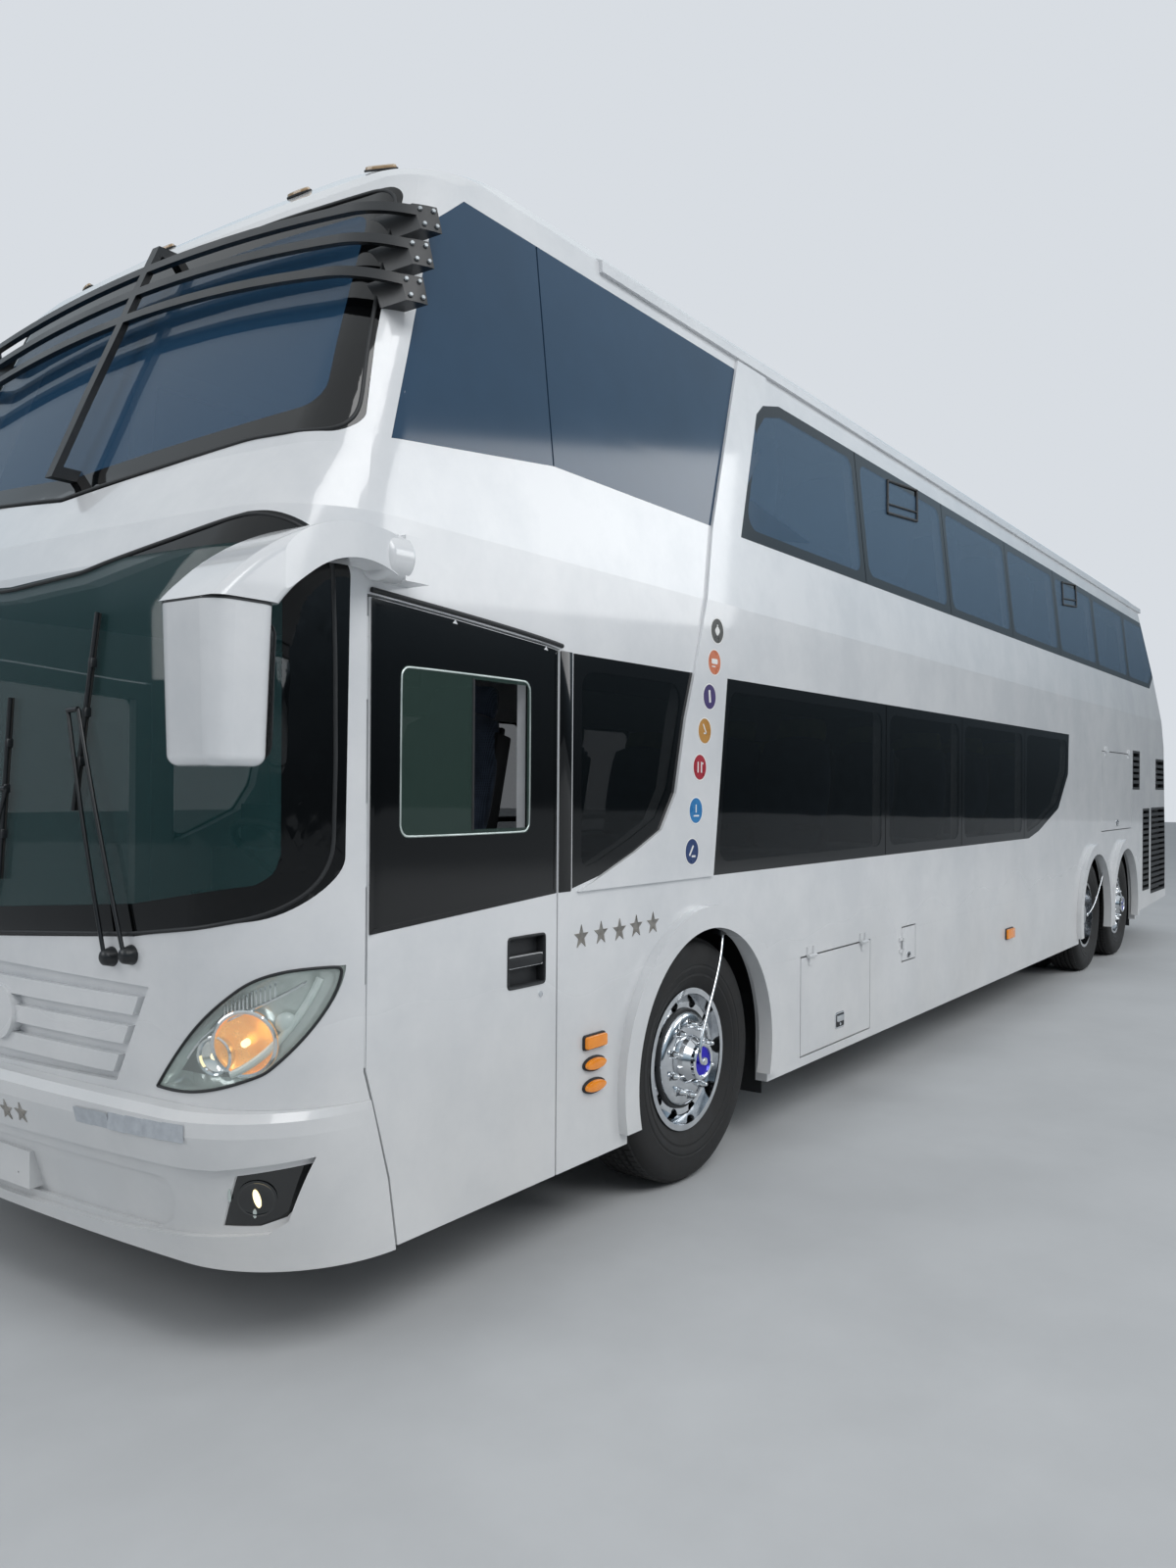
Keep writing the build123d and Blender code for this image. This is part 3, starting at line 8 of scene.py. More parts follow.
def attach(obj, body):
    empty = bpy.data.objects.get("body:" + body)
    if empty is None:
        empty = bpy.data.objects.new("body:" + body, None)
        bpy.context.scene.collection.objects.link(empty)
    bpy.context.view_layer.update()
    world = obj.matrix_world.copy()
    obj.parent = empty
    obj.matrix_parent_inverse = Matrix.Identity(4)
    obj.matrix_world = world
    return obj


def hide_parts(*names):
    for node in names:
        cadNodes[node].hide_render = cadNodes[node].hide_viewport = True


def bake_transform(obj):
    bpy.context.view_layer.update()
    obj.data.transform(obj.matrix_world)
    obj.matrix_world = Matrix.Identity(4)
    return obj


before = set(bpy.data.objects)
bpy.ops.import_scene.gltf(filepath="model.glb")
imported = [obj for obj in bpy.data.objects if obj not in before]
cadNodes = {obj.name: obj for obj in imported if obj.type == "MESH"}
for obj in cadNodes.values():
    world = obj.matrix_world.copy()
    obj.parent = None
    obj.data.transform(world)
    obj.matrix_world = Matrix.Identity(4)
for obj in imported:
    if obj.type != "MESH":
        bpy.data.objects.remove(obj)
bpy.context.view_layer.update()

# White two-deck touring coach: +X its front, +Y the driver's side, metres.
scene = bpy.context.scene
frontAxleX = 4.29
driveAxleX = frontAxleX - 7.26
tagAxleX = frontAxleX - 8.57
wheelZ = 0.516
hands = ((1, "left"), (-1, "right"))  # the driver's side is the left one
print("frame loaded:", len(cadNodes), "nodes")


def linearColour(hexColour):  # sRGB hex to the linear values a shader takes
    shares = [int(hexColour[i:i + 2], 16) / 255 for i in (1, 3, 5)]
    return [s / 12.92 if s <= 0.04045 else ((s + 0.055) / 1.055) ** 2.4 for s in shares] + [1.0]


def addNode(tree, kind, settings=None, links=None):
    # one shader node with its settings and the sockets that feed it
    node = tree.nodes.new(kind)
    for name, value in (settings or {}).items():
        if isinstance(name, str) and hasattr(node, name):
            setattr(node, name, value)
        else:
            node.inputs[name].default_value = value
    for name, source in (links or {}).items():
        tree.links.new(source, node.inputs[name])
    return node


def setRamp(ramp, stops):  # stops: (place, hex colour or grey share)
    points = ramp.color_ramp.elements
    while len(points) < len(stops):
        points.new(0.5)
    for point, (place, colour) in zip(points, stops):
        point.position = place
        point.color = linearColour(colour) if isinstance(colour, str) else [colour] * 3 + [1.0]
    return ramp.outputs["Color"]


def newMaterial(name):
    # a material, its nodes, its shader and the coordinates of the piece that wears it
    material = bpy.data.materials.new(name)
    material.use_nodes = True
    tree = material.node_tree
    own = addNode(tree, "ShaderNodeTexCoord").outputs["Object"]
    return material, tree, tree.nodes["Principled BSDF"], own


def makeFinish(name, first, second, patchMm, smooth, rough, grainMm=0, bump=0.0, sockets=None):
    # broad colour patches, fine grain in bump and a roughness that follows the patches
    material, tree, shader, own = newMaterial(name)
    for socket, value in (sockets or {}).items():
        shader.inputs[socket].default_value = value
    patchSize = {"Scale": 1000 / patchMm, "Detail": 5.0, "Roughness": 0.6}
    patches = addNode(tree, "ShaderNodeTexNoise", patchSize, {"Vector": own}).outputs[0]
    tint = addNode(tree, "ShaderNodeValToRGB", links={"Fac": patches})
    tree.links.new(setRamp(tint, [(0.35, first), (0.65, second)]), shader.inputs["Base Color"])
    spread = {"From Min": 0.3, "From Max": 0.7, "To Min": smooth, "To Max": rough}
    wear = addNode(tree, "ShaderNodeMapRange", spread, {"Value": patches})
    tree.links.new(wear.outputs["Result"], shader.inputs["Roughness"])
    if grainMm:
        grain = addNode(tree, "ShaderNodeTexNoise", {"Scale": 1000 / grainMm, "Detail": 3.0}, {"Vector": own})
        depth = {"Strength": bump, "Distance": grainMm / 4000}
        skin = addNode(tree, "ShaderNodeBump", depth, {"Height": grain.outputs[0]})
        tree.links.new(skin.outputs["Normal"], shader.inputs["Normal"])
    return material


finishes = {  # two colours, their patches in mm, roughness from and to, grain in mm, bump, other sockets
    # satin powder coat on steel bars: even and dark with a soft highlight
    "powderCoat": ("#15171A", "#1E2124", 300, 0.28, 0.42, 3, 0.08),
    # moulded ABS: fine pebble grain
    "mouldedAbs": ("#1B1C1E", "#26282A", 120, 0.5, 0.62, 4, 0.25),
    # black ceramic enamel fired on the glass: as glossy as the glass in front of it
    "ceramicBand": ("#060708", "#0A0B0C", 800, 0.04, 0.07, 0, 0, {"IOR": 1.5}),
    # blue-black solar film on the glass: opaque by day
    "solarFilm": ("#1E3A52", "#26445F", 1500, 0.06, 0.1, 0, 0, {"IOR": 1.45}),
    # forged aluminium, machine polished: bright with faint turning haze
    "polishedAlloy": ("#C9CCD0", "#E2E4E6", 90, 0.08, 0.16, 2, 0.02, {"Metallic": 1.0}),
    # chromed steel: mirror bright
    "chrome": ("#DADDE0", "#E8EAEC", 60, 0.03, 0.07, 0, 0, {"Metallic": 1.0}),
    # vulcanised rubber: dull black with a grey bloom of road dust
    "tyreRubber": ("#141415", "#242322", 70, 0.62, 0.85, 3, 0.3),
    # chassis black over steel: dusty film
    "chassisPaint": ("#17181A", "#2E2C29", 160, 0.45, 0.75, 6, 0.2),
    # cast iron: coarse sand skin with brown dust
    "castIron": ("#2A2826", "#45403A", 60, 0.6, 0.85, 5, 0.5),
    # rolled aluminium tank: dull brushed
    "tankAlloy": ("#8D9194", "#A5A8AA", 150, 0.35, 0.5, 3, 0.1, {"Metallic": 1.0}),
    # galvanised sheet: spangled grey
    "zincSheet": ("#7E8386", "#A7ACAF", 35, 0.35, 0.55, 8, 0.05, {"Metallic": 0.9}),
    # speckled vinyl floor
    "vinylFloor": ("#3A3D40", "#4A4E52", 8, 0.45, 0.6, 5, 0.15),
    # anodised aluminium for the stars
    "anodisedStar": ("#9B958D", "#B4AFA8", 30, 0.25, 0.4, 0, 0, {"Metallic": 1.0}),
    # blue-violet anodised hub disc
    "hubFilm": ("#1C12B8", "#2A1AD6", 60, 0.15, 0.25, 0, 0, {"Metallic": 0.6}),
    # smoky grey-amber acrylic of the roof lamps
    "roofLens": ("#A98D6C", "#BBA07F", 40, 0.12, 0.2, 0, 0, {"Coat Weight": 0.6}),
    # glass-bead reflective tape: dull grey by day
    "reflectiveTape": ("#AEB4BB", "#BCC2C8", 25, 0.3, 0.42, 3, 0.1),
    # vacuum-metallised lamp housing: soft grey mirror
    "lampChrome": ("#C6D1CD", "#DCE5E1", 80, 0.16, 0.26, 0, 0, {"Metallic": 0.5}),
    # the same mirror with a painted warm glow: its orange colour and emission stand in for the light of the
    # lit lamp on it
    "glowPaintedReflector": (
        "#F0A040", "#F7C06A", 35, 0.2, 0.3, 0, 0,
        {"Metallic": 0.6, "Emission Color": (1.0, 0.42, 0.08, 1.0), "Emission Strength": 0.35},
    ),
    # frosted glass of a lit bulb
    "litBulb": (
        "#FFF2C8", "#FFE9A8", 40, 0.2, 0.3, 0, 0,
        {"Emission Color": (1.0, 0.82, 0.45, 1.0), "Emission Strength": 1.6},
    ),
    # frosted clear acrylic
    "clearLens": ("#C9D8D5", "#DDE8E5", 60, 0.12, 0.2, 0, 0, {"Coat Weight": 0.6}),
    # smoked acrylic: black with a hard gloss
    "smokedLens": ("#0A0C0D", "#121516", 200, 0.05, 0.1, 0, 0, {"Coat Weight": 0.8}),
    # silvered glass: a flat mirror
    "silveredGlass": ("#D5DADD", "#E0E4E6", 300, 0.01, 0.03, 0, 0, {"Metallic": 1.0}),
    # cast vinyl film under clear laminate: even colour with a low sheen
    "clearCoatWhite": ("#E8E8E6", "#F0F0EE", 200, 0.25, 0.35),
    # the signs, in the same film
    "discGraphite": ("#3A3B38", "#4A4B47", 40, 0.25, 0.35),
    "discOrange": ("#C9704A", "#D27C56", 60, 0.25, 0.35),
    "discPurple": ("#3A2C63", "#45356F", 60, 0.25, 0.35),
    "discOchre": ("#B27E35", "#BE8B42", 60, 0.25, 0.35),
    "discCrimson": ("#9C1B2C", "#A92536", 60, 0.25, 0.35),
    "discBlue": ("#2474B0", "#2E80BC", 60, 0.25, 0.35),
    "discNavy": ("#1F3768", "#284273", 60, 0.25, 0.35),
    # amber acrylic, coloured through, with a little of its own glow
    "amberLens": (
        "#D8780A", "#E88A14", 60, 0.12, 0.2, 0, 0,
        {"Coat Weight": 0.6, "Transmission Weight": 0.15, "Emission Strength": 0.25,
         "Emission Color": (0.9, 0.32, 0.02, 1.0)},
    ),
    # the same acrylic in deep red
    "redLens": ("#7E0B0F", "#960F14", 60, 0.1, 0.18, 0, 0, {"Coat Weight": 0.6}),
}
finish = {name: makeFinish(name, *row) for name, row in finishes.items()}

paintRecipe = {
    "white": "#E4E6E8",
    "shade": "#D9DCDF",
    "patchMm": 625,
    "dust": "#B7B1A6",
    "dustTop": 1.5,  # metres above the ground
    "dustBase": 0.25,
    "dustShare": 0.4,
    "roughness": (0.22, 0.5),  # clean, dusty
    "peelMm": 6.0,
    "peelDepthMm": 0.4,
    "clearCoat": 0.7,
}


def makePaint(name, recipe):
    # two-pack gloss white: faint orange peel under a clear coat, road dust towards the skirt
    material, tree, shader, own = newMaterial(name)
    patchScale = 1000 / recipe["patchMm"]
    broad = addNode(
        tree, "ShaderNodeTexNoise", {"Scale": patchScale, "Detail": 6.0, "Roughness": 0.65}, {"Vector": own}
    )
    tint = addNode(tree, "ShaderNodeValToRGB", links={"Fac": broad.outputs[0]})
    white = setRamp(tint, [(0.38, recipe["shade"]), (0.6, recipe["white"])])
    height = addNode(tree, "ShaderNodeSeparateXYZ", links={"Vector": own})
    low = addNode(
        tree, "ShaderNodeMapRange",
        {"interpolation_type": "SMOOTHSTEP", "From Min": recipe["dustTop"], "From Max": recipe["dustBase"],
         "To Min": 0.0, "To Max": recipe["dustShare"]},
        {"Value": height.outputs["Z"]},
    )
    streaks = addNode(tree, "ShaderNodeMapping", {"Scale": (0.9, 0.9, 0.6)}, {"Vector": own})
    splash = addNode(
        tree, "ShaderNodeTexNoise", {"Scale": patchScale, "Detail": 2.0, "Roughness": 0.45},
        {"Vector": streaks.outputs[0]},
    )
    amount = addNode(
        tree, "ShaderNodeMath", {"operation": "MULTIPLY"}, {0: low.outputs["Result"], 1: splash.outputs[0]}
    )
    dirty = addNode(tree, "ShaderNodeMix", {"data_type": "RGBA"}, {0: amount.outputs[0], 6: white})
    dirty.inputs[7].default_value = linearColour(recipe["dust"])
    tree.links.new(dirty.outputs[2], shader.inputs["Base Color"])
    clean, dusty = recipe["roughness"]
    rough = addNode(
        tree, "ShaderNodeMapRange",
        {"From Min": 0.0, "From Max": recipe["dustShare"], "To Min": clean, "To Max": dusty},
        {"Value": amount.outputs[0]},
    )
    tree.links.new(rough.outputs["Result"], shader.inputs["Roughness"])
    peelSize = {"Scale": 1000 / recipe["peelMm"], "Detail": 1.0}
    peel = addNode(tree, "ShaderNodeTexNoise", peelSize, {"Vector": own})
    depth = {"Strength": 0.04, "Distance": recipe["peelDepthMm"] / 1000}
    bump = addNode(tree, "ShaderNodeBump", depth, {"Height": peel.outputs[0]})
    tree.links.new(bump.outputs["Normal"], shader.inputs["Normal"])
    shader.inputs["Coat Weight"].default_value = recipe["clearCoat"]
    shader.inputs["Coat Roughness"].default_value = 0.05
    return material


finish["coachPaint"] = makePaint("coachPaint", paintRecipe)


def makeCloth(name, recipe):
    # woven pile: crossed threads drawn at a width that shows, soft edge light from the sheen
    material, tree, shader, own = newMaterial(name)
    wave = {"Scale": 1000 / recipe["threadMm"] / 3.2, "Distortion": 0.6}
    upright, level = (
        addNode(tree, "ShaderNodeTexWave", {"bands_direction": direction, **wave}, {"Vector": own}).outputs[1]
        for direction in ("Y", "Z")
    )
    weave = addNode(tree, "ShaderNodeMath", {"operation": "MAXIMUM"}, {0: upright, 1: level})
    patches = addNode(tree, "ShaderNodeTexNoise", {"Scale": 14.0, "Detail": 4.0}, {"Vector": own})
    blend = addNode(
        tree, "ShaderNodeMath", {"operation": "MULTIPLY"}, {0: weave.outputs[0], 1: patches.outputs[0]}
    )
    tint = addNode(tree, "ShaderNodeValToRGB", links={"Fac": blend.outputs[0]})
    tree.links.new(setRamp(tint, [(0.2, recipe["dark"]), (0.6, recipe["pale"])]), shader.inputs["Base Color"])
    depth = {"Strength": 0.35, "Distance": recipe["threadMm"] / 3000}
    bump = addNode(tree, "ShaderNodeBump", depth, {"Height": weave.outputs[0]})
    tree.links.new(bump.outputs["Normal"], shader.inputs["Normal"])
    shader.inputs["Roughness"].default_value = 0.85
    shader.inputs["Sheen Weight"].default_value = 0.35
    return material


clothRecipes = {
    "seatMoquette": {"dark": "#2E3A4C", "pale": "#56657C", "threadMm": 6},  # real threads are about 1 mm
    "creamCover": {"dark": "#BDB69E", "pale": "#DAD4BE", "threadMm": 5},
    "limeCover": {"dark": "#8C9A3C", "pale": "#B4C05A", "threadMm": 5},
}
for name, recipe in clothRecipes.items():
    finish[name] = makeCloth(name, recipe)


def makeGlass(name, hexColour, alpha):
    # bonded float glass tinted in the mass: a dark gloss that the inside shows through
    material, tree, shader, own = newMaterial(name)
    shader.inputs["Base Color"].default_value = linearColour(hexColour)
    shader.inputs["IOR"].default_value = 1.52
    shader.inputs["Roughness"].default_value = 0.03
    shader.inputs["Alpha"].default_value = alpha
    # the faint unevenness of float glass
    wave = addNode(tree, "ShaderNodeTexNoise", {"Scale": 1.5, "Detail": 1.0}, {"Vector": own})
    bump = addNode(tree, "ShaderNodeBump", {"Strength": 0.05, "Distance": 0.02}, {"Height": wave.outputs[0]})
    tree.links.new(bump.outputs["Normal"], shader.inputs["Normal"])
    return material


glassTints = {  # colour, how much of it covers what lies behind
    "privacyGlass": ("#070B0D", 0.62),
    "saloonGlass": ("#4B6680", 0.6),
    "doorPane": ("#33453F", 0.72),
    "screenGlass": ("#2A4A4B", 0.42),
    "upperScreenGlass": ("#33597A", 0.55),
    "lampCover": ("#DCE6E2", 0.16),
}
for name, (hexColour, alpha) in glassTints.items():
    finish[name] = makeGlass(name, hexColour, alpha)
print("finishes made:", len(finish))

nodeFinishes = {
    "coachPaint": [
        "lower_side_left", "lower_side_right", "upper_side_left", "upper_side_right", "roof", "front_mask",
        "front_bumper", "grille_panel", "rear_wall", "rear_lid", "driver_door", "passenger_door",
        "luggage_flap_left", "luggage_flap_right", "engine_door_left", "fuel_flap", "swoosh_pillars",
        "mirrors",
    ],
    "powderCoat": ["louvre_rack", "wipers"],
    "mouldedAbs": ["side_grilles", "wheel_housings", "dashboard"],
    "amberLens": ["marker_lamps"],
    "redLens": ["tail_lamps"],
    "vinylFloor": ["lower_floor", "upper_floor", "stairs"],
    "zincSheet": ["luggage_bays"],
    "tankAlloy": ["fuel_tank"],
    "chassisPaint": ["chassis_frame", "cross_members", "towing_jaw", "front_axle", "rear_axles"],
    "castIron": ["engine_block", "knuckle_left", "knuckle_right"],
    "polishedAlloy": [n for n in cadNodes if n.startswith("rim_")],
    "tyreRubber": [n for n in cadNodes if n.startswith("tyre_")],
    "lampCover": ["front_lamps"],
    "privacyGlass": ["side_glass_left", "side_glass_right", "driver_door_glass"],
    "screenGlass": ["screens"],
}
for finishName, names in nodeFinishes.items():
    for node in names:  # a CAD solid keeps its mesh and takes a finish
        slots = cadNodes[node].data.materials
        slots.clear()
        slots.append(finish[finishName])
print("solids dressed")


def newPiece(name, shape, body, finishNames, smoothAngle=35, turns=None):
    # a finished mesh from a bmesh, riding on one body; given turns, it rides on no body and its place is
    # baked into its mesh
    data = bpy.data.meshes.new(name)
    shape.to_mesh(data)
    shape.free()
    for polygon in data.polygons:
        polygon.use_smooth = True
    data.set_sharp_from_angle(angle=math.radians(smoothAngle))
    for finishName in finishNames:
        data.materials.append(finish[finishName])
    piece = bpy.data.objects.new(name, data)
    scene.collection.objects.link(piece)
    if turns:
        tuple(turns[1])
        tuple(turns[2])
        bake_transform(piece)
    else:
        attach(piece, body)
    return piece


def spot(x, y, z):  # millimetres, x from the front axle
    return Vector((frontAxleX + x / 1000, y / 1000, z / 1000))


def facingFrame(place, outward):  # +Z looks outward and +Y is as upright as it can be
    z = Vector(outward).normalized()
    x = Vector((0, 0, 1)).cross(z) if abs(z.z) < 0.99 else Vector((0, 1, 0))
    x.normalize()
    return Matrix.Translation(place) @ Matrix((x, z.cross(x), z)).transposed().to_4x4()


skinTrees = {}


def onSkin(nodes, start, direction):
    # the frame on the first surface of some CAD nodes that a line meets
    hits = []
    for node in nodes:
        if node not in skinTrees:
            data = cadNodes[node].data
            skinTrees[node] = BVHTree.FromPolygons(
                [v.co for v in data.vertices], [list(p.vertices) for p in data.polygons]
            )
        place, normal, _, reach = skinTrees[node].ray_cast(start, Vector(direction))
        if place is not None:
            hits.append((reach, place, normal))
    _, place, normal = min(hits, key=lambda hit: hit[0])
    return facingFrame(place, normal)


farOff = {"front": 3000, "side": 2000, "rear": -13000, "roof": 5000}  # where the lines start, well clear


def onFront(nodes, y, z):
    return onSkin(nodes, spot(farOff["front"], y, z), (-1, 0, 0))


def onSide(nodes, x, z, hand=1):
    return onSkin(nodes, spot(x, hand * farOff["side"], z), (0, -hand, 0))


def onRear(nodes, y, z):
    return onSkin(nodes, spot(farOff["rear"], y, z), (1, 0, 0))


def moved(place, x=0.0, y=0.0, z=0.0, turn=0.0, axis="Z"):
    # a frame moved along its own axes by millimetres, then turned about one of them by degrees
    turning = Matrix.Rotation(math.radians(turn), 4, axis)
    return place @ Matrix.Translation((x / 1000, y / 1000, z / 1000)) @ turning


def pointOff(place, proud):  # the point this many mm out from a frame
    return place @ Vector((0, 0, proud / 1000))


def closed(line):  # a line that comes back to its start
    return line + line[:1]


def join(shape, part):  # a part's mesh is added to a piece
    data = bpy.data.meshes.new("part")
    part.to_mesh(data)
    part.free()
    shape.from_mesh(data)
    bpy.data.meshes.remove(data)


def settle(shape, part, place, coat):
    # a part just made is merged, turned outward, given its finish, put in place and added
    bmesh.ops.remove_doubles(part, verts=part.verts, dist=1e-6)
    bmesh.ops.recalc_face_normals(part, faces=part.faces)
    for face in part.faces:
        face.material_index = coat
    bmesh.ops.transform(part, matrix=place, verts=part.verts)
    join(shape, part)


def turned(shape, profile, place, coat=0, steps=32):
    # a turning: (radius, height) points in mm spun round the place's own Z axis
    part = bmesh.new()
    chain = [part.verts.new((r / 1000, 0, h / 1000)) for r, h in profile]
    edges = [part.edges.new(pair) for pair in zip(chain, chain[1:])]
    bmesh.ops.spin(
        part, geom=chain + edges, axis=(0, 0, 1), cent=(0, 0, 0), dvec=(0, 0, 0), angle=2 * math.pi,
        steps=steps, use_merge=True,
    )
    settle(shape, part, place, coat)


def plate(shape, outline, thick, place, coat=0, ease=0.0):
    # a flat plate: its back lies on the place, its front edge is eased
    part = bmesh.new()
    back = part.faces.new([part.verts.new((x / 1000, y / 1000, 0)) for x, y in outline])
    done = bmesh.ops.extrude_face_region(part, geom=[back], use_keep_orig=True)
    front = [g for g in done["geom"] if isinstance(g, bmesh.types.BMFace)]
    bmesh.ops.translate(part, verts=list(front[0].verts), vec=(0, 0, thick / 1000))
    if ease:
        bmesh.ops.bevel(
            part, geom=list(front[0].edges), affect="EDGES", offset=ease / 1000, segments=2, profile=0.5,
            material=-1,
        )
    settle(shape, part, place, coat)


def bar(shape, size, place, coat=0, ease=3.0):
    # a block centred on the place with rounded edges
    part = bmesh.new()
    bmesh.ops.create_cube(part, size=1)
    bmesh.ops.scale(part, verts=part.verts, vec=[s / 1000 for s in size])
    bmesh.ops.bevel(
        part, geom=list(part.edges), affect="EDGES", offset=ease / 1000, segments=2, profile=0.5, material=-1,
    )
    settle(shape, part, place, coat)


def pipe(shape, points, radius, coat=0):
    # a tube along one smooth line through its guide points
    bend = bpy.data.curves.new("bend", "CURVE")
    bend.dimensions = "3D"
    bend.bevel_depth = radius / 1000
    bend.bevel_resolution = 3
    bend.use_fill_caps = True
    line = bend.splines.new("NURBS")
    line.points.add(len(points) - 1)
    for target, point in zip(line.points, points):
        target.co = (*point, 1)
    line.order_u = min(4, len(points))
    line.use_endpoint_u = True
    holder = bpy.data.objects.new("bend", bend)
    part = bmesh.new()
    part.from_mesh(bpy.data.meshes.new_from_object(holder))
    bpy.data.objects.remove(holder)
    settle(shape, part, Matrix(), coat)


def oval(width, height, steps=24):
    angles = [2 * math.pi * i / steps for i in range(steps)]
    return [(width / 2 * math.cos(a), height / 2 * math.sin(a)) for a in angles]


def softRectangle(width, height, radius, steps=5):
    corners = [(-1, -1), (1, -1), (1, 1), (-1, 1)]
    points = []
    for turn, (i, j) in enumerate(corners):
        for step in range(steps + 1):
            a = math.pi * (1 + turn / 2 + step / steps / 2)
            x = i * (width / 2 - radius) + radius * math.cos(a)
            points.append((x, j * (height / 2 - radius) + radius * math.sin(a)))
    return points


def meetingPoint(cornerA, alongA, cornerB, alongB):  # where two lines of a flat outline cross
    crossed = alongA.x * alongB.y - alongA.y * alongB.x
    gap = cornerB - cornerA
    return cornerA + alongA * ((gap.x * alongB.y - gap.y * alongB.x) / crossed)


def withoutStraightPoints(points, tolerance):  # an outline keeps only the points that bend it
    kept = list(points)
    for point in points:
        index = kept.index(point)
        before, after = kept[index - 1], kept[(index + 1) % len(kept)]
        along = (after - before).normalized()
        offset = point - before
        if len(kept) > 3 and abs(along.x * offset.y - along.y * offset.x) < tolerance:
            kept.pop(index)
    return kept


def shrunkOutline(points, border):
    # an outline moved inward; edges that the border swallows are dropped
    edges = [(a, (b - a).normalized()) for a, b in zip(points, points[1:] + points[:1])]
    lines = [(a + Vector((-d.y, d.x)) * border, d) for a, d in edges]
    while True:
        corners = [meetingPoint(*lines[i - 1], *lines[i]) for i in range(len(lines))]
        turned = [
            i for i, (_, d) in enumerate(lines)
            if (corners[(i + 1) % len(lines)] - corners[i]).dot(d) < 1e-4
        ]
        if not turned:
            return corners
        lines.pop(turned[0])


def roundedOutline(points, radius, steps=5):  # each clear corner becomes an arc
    result = []
    for i, corner in enumerate(points):
        back = (points[i - 1] - corner).normalized()
        on = (points[(i + 1) % len(points)] - corner).normalized()
        turn = math.pi - back.angle(on)
        if math.degrees(turn) < 18:
            result.append(corner)
            continue
        shortest = min((points[i - 1] - corner).length, (points[(i + 1) % len(points)] - corner).length)
        reach = min(radius * math.tan(turn / 2), shortest * 0.45)  # neighbouring arcs never meet
        bend = reach / math.tan(turn / 2)
        start, stop = corner + back * reach, corner + on * reach
        centre = corner + (back + on).normalized() * bend / math.cos(turn / 2)
        for step in range(steps + 1):
            spoke = (start - centre).slerp(stop - centre, step / steps)
            result.append(centre + spoke.normalized() * bend)
    return result


def looseParts(shape):
    waiting = set(shape.verts)
    while waiting:
        found = [waiting.pop()]
        for vert in found:
            for edge in vert.link_edges:
                other = edge.other_vert(vert)
                if other in waiting:
                    waiting.remove(other)
                    found.append(other)
        yield found


def dressPanes(name, node, body, finishNames, recipe, chooseFinish):
    # a copy of the panes, cut along each clear area, with the fired black border round it
    panes = bmesh.new()
    panes.from_mesh(cadNodes[node].data)
    bmesh.ops.remove_doubles(panes, verts=panes.verts, dist=1e-5)
    outward = Vector(recipe["outward"])
    across = Vector((0, 0, 1)).cross(outward)
    border = len(finishNames) - 1
    for face in panes.faces:
        face.material_index = border if chooseFinish(face.calc_center_median()) < 2 else 2
    for part in list(looseParts(panes)):
        faces = {f for v in part for f in v.link_faces}
        faceOut = [f for f in faces if f.normal.dot(outward) > recipe["facing"]]
        flatPoints = [Vector((v.co.dot(across), v.co.z)) for f in faceOut for v in f.verts]
        hull = [flatPoints[i] for i in geometry.convex_hull_2d(flatPoints)]
        hull = withoutStraightPoints(hull, recipe["straight"])
        clear = recipe.get("clear") or roundedOutline(shrunkOutline(hull, recipe["border"]), recipe["corner"])
        cut = list(faces | {e for f in faces for e in f.edges} | set(part))
        sides = [(a, Vector(((b - a).y, (a - b).x))) for a, b in zip(clear, clear[1:] + clear[:1])]
        for place, normal in sides:
            done = bmesh.ops.bisect_plane(
                panes, geom=cut, dist=1e-5, plane_co=across * place.x + Vector((0, 0, place.y)),
                plane_no=across * normal.x + Vector((0, 0, normal.y)),
            )
            cut = done["geom"]
        for face in {g for g in cut if isinstance(g, bmesh.types.BMFace)}:
            middle = face.calc_center_median()
            flatMiddle = Vector((middle.dot(across), middle.z))
            inside = all((flatMiddle - place).dot(normal) < 0 for place, normal in sides)
            if inside and abs(face.normal.dot(outward)) > recipe["facing"]:
                face.material_index = chooseFinish(middle)
    piece = newPiece(name, panes, body, finishNames, 20)
    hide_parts(node)
    return piece


paneRecipes = {  # metres; facing is how squarely a face has to look outward
    "side": {"border": 0.055, "corner": 0.07, "facing": 0.6, "straight": 0.002},
    "screens": {"border": 0.095, "corner": 0.07, "facing": 0.3, "straight": 0.003},
    "door": {"border": 0.022, "corner": 0.03, "facing": 0.6, "straight": 0.001},
}
filmEdge = (frontAxleX - 0.6, 2.6)  # forward of this x and above this z the panes carry solar film


def sidePaneFinish(centre):
    if centre.x > filmEdge[0] and centre.z > filmEdge[1]:
        return 2
    return 1 if centre.z > filmEdge[1] else 0


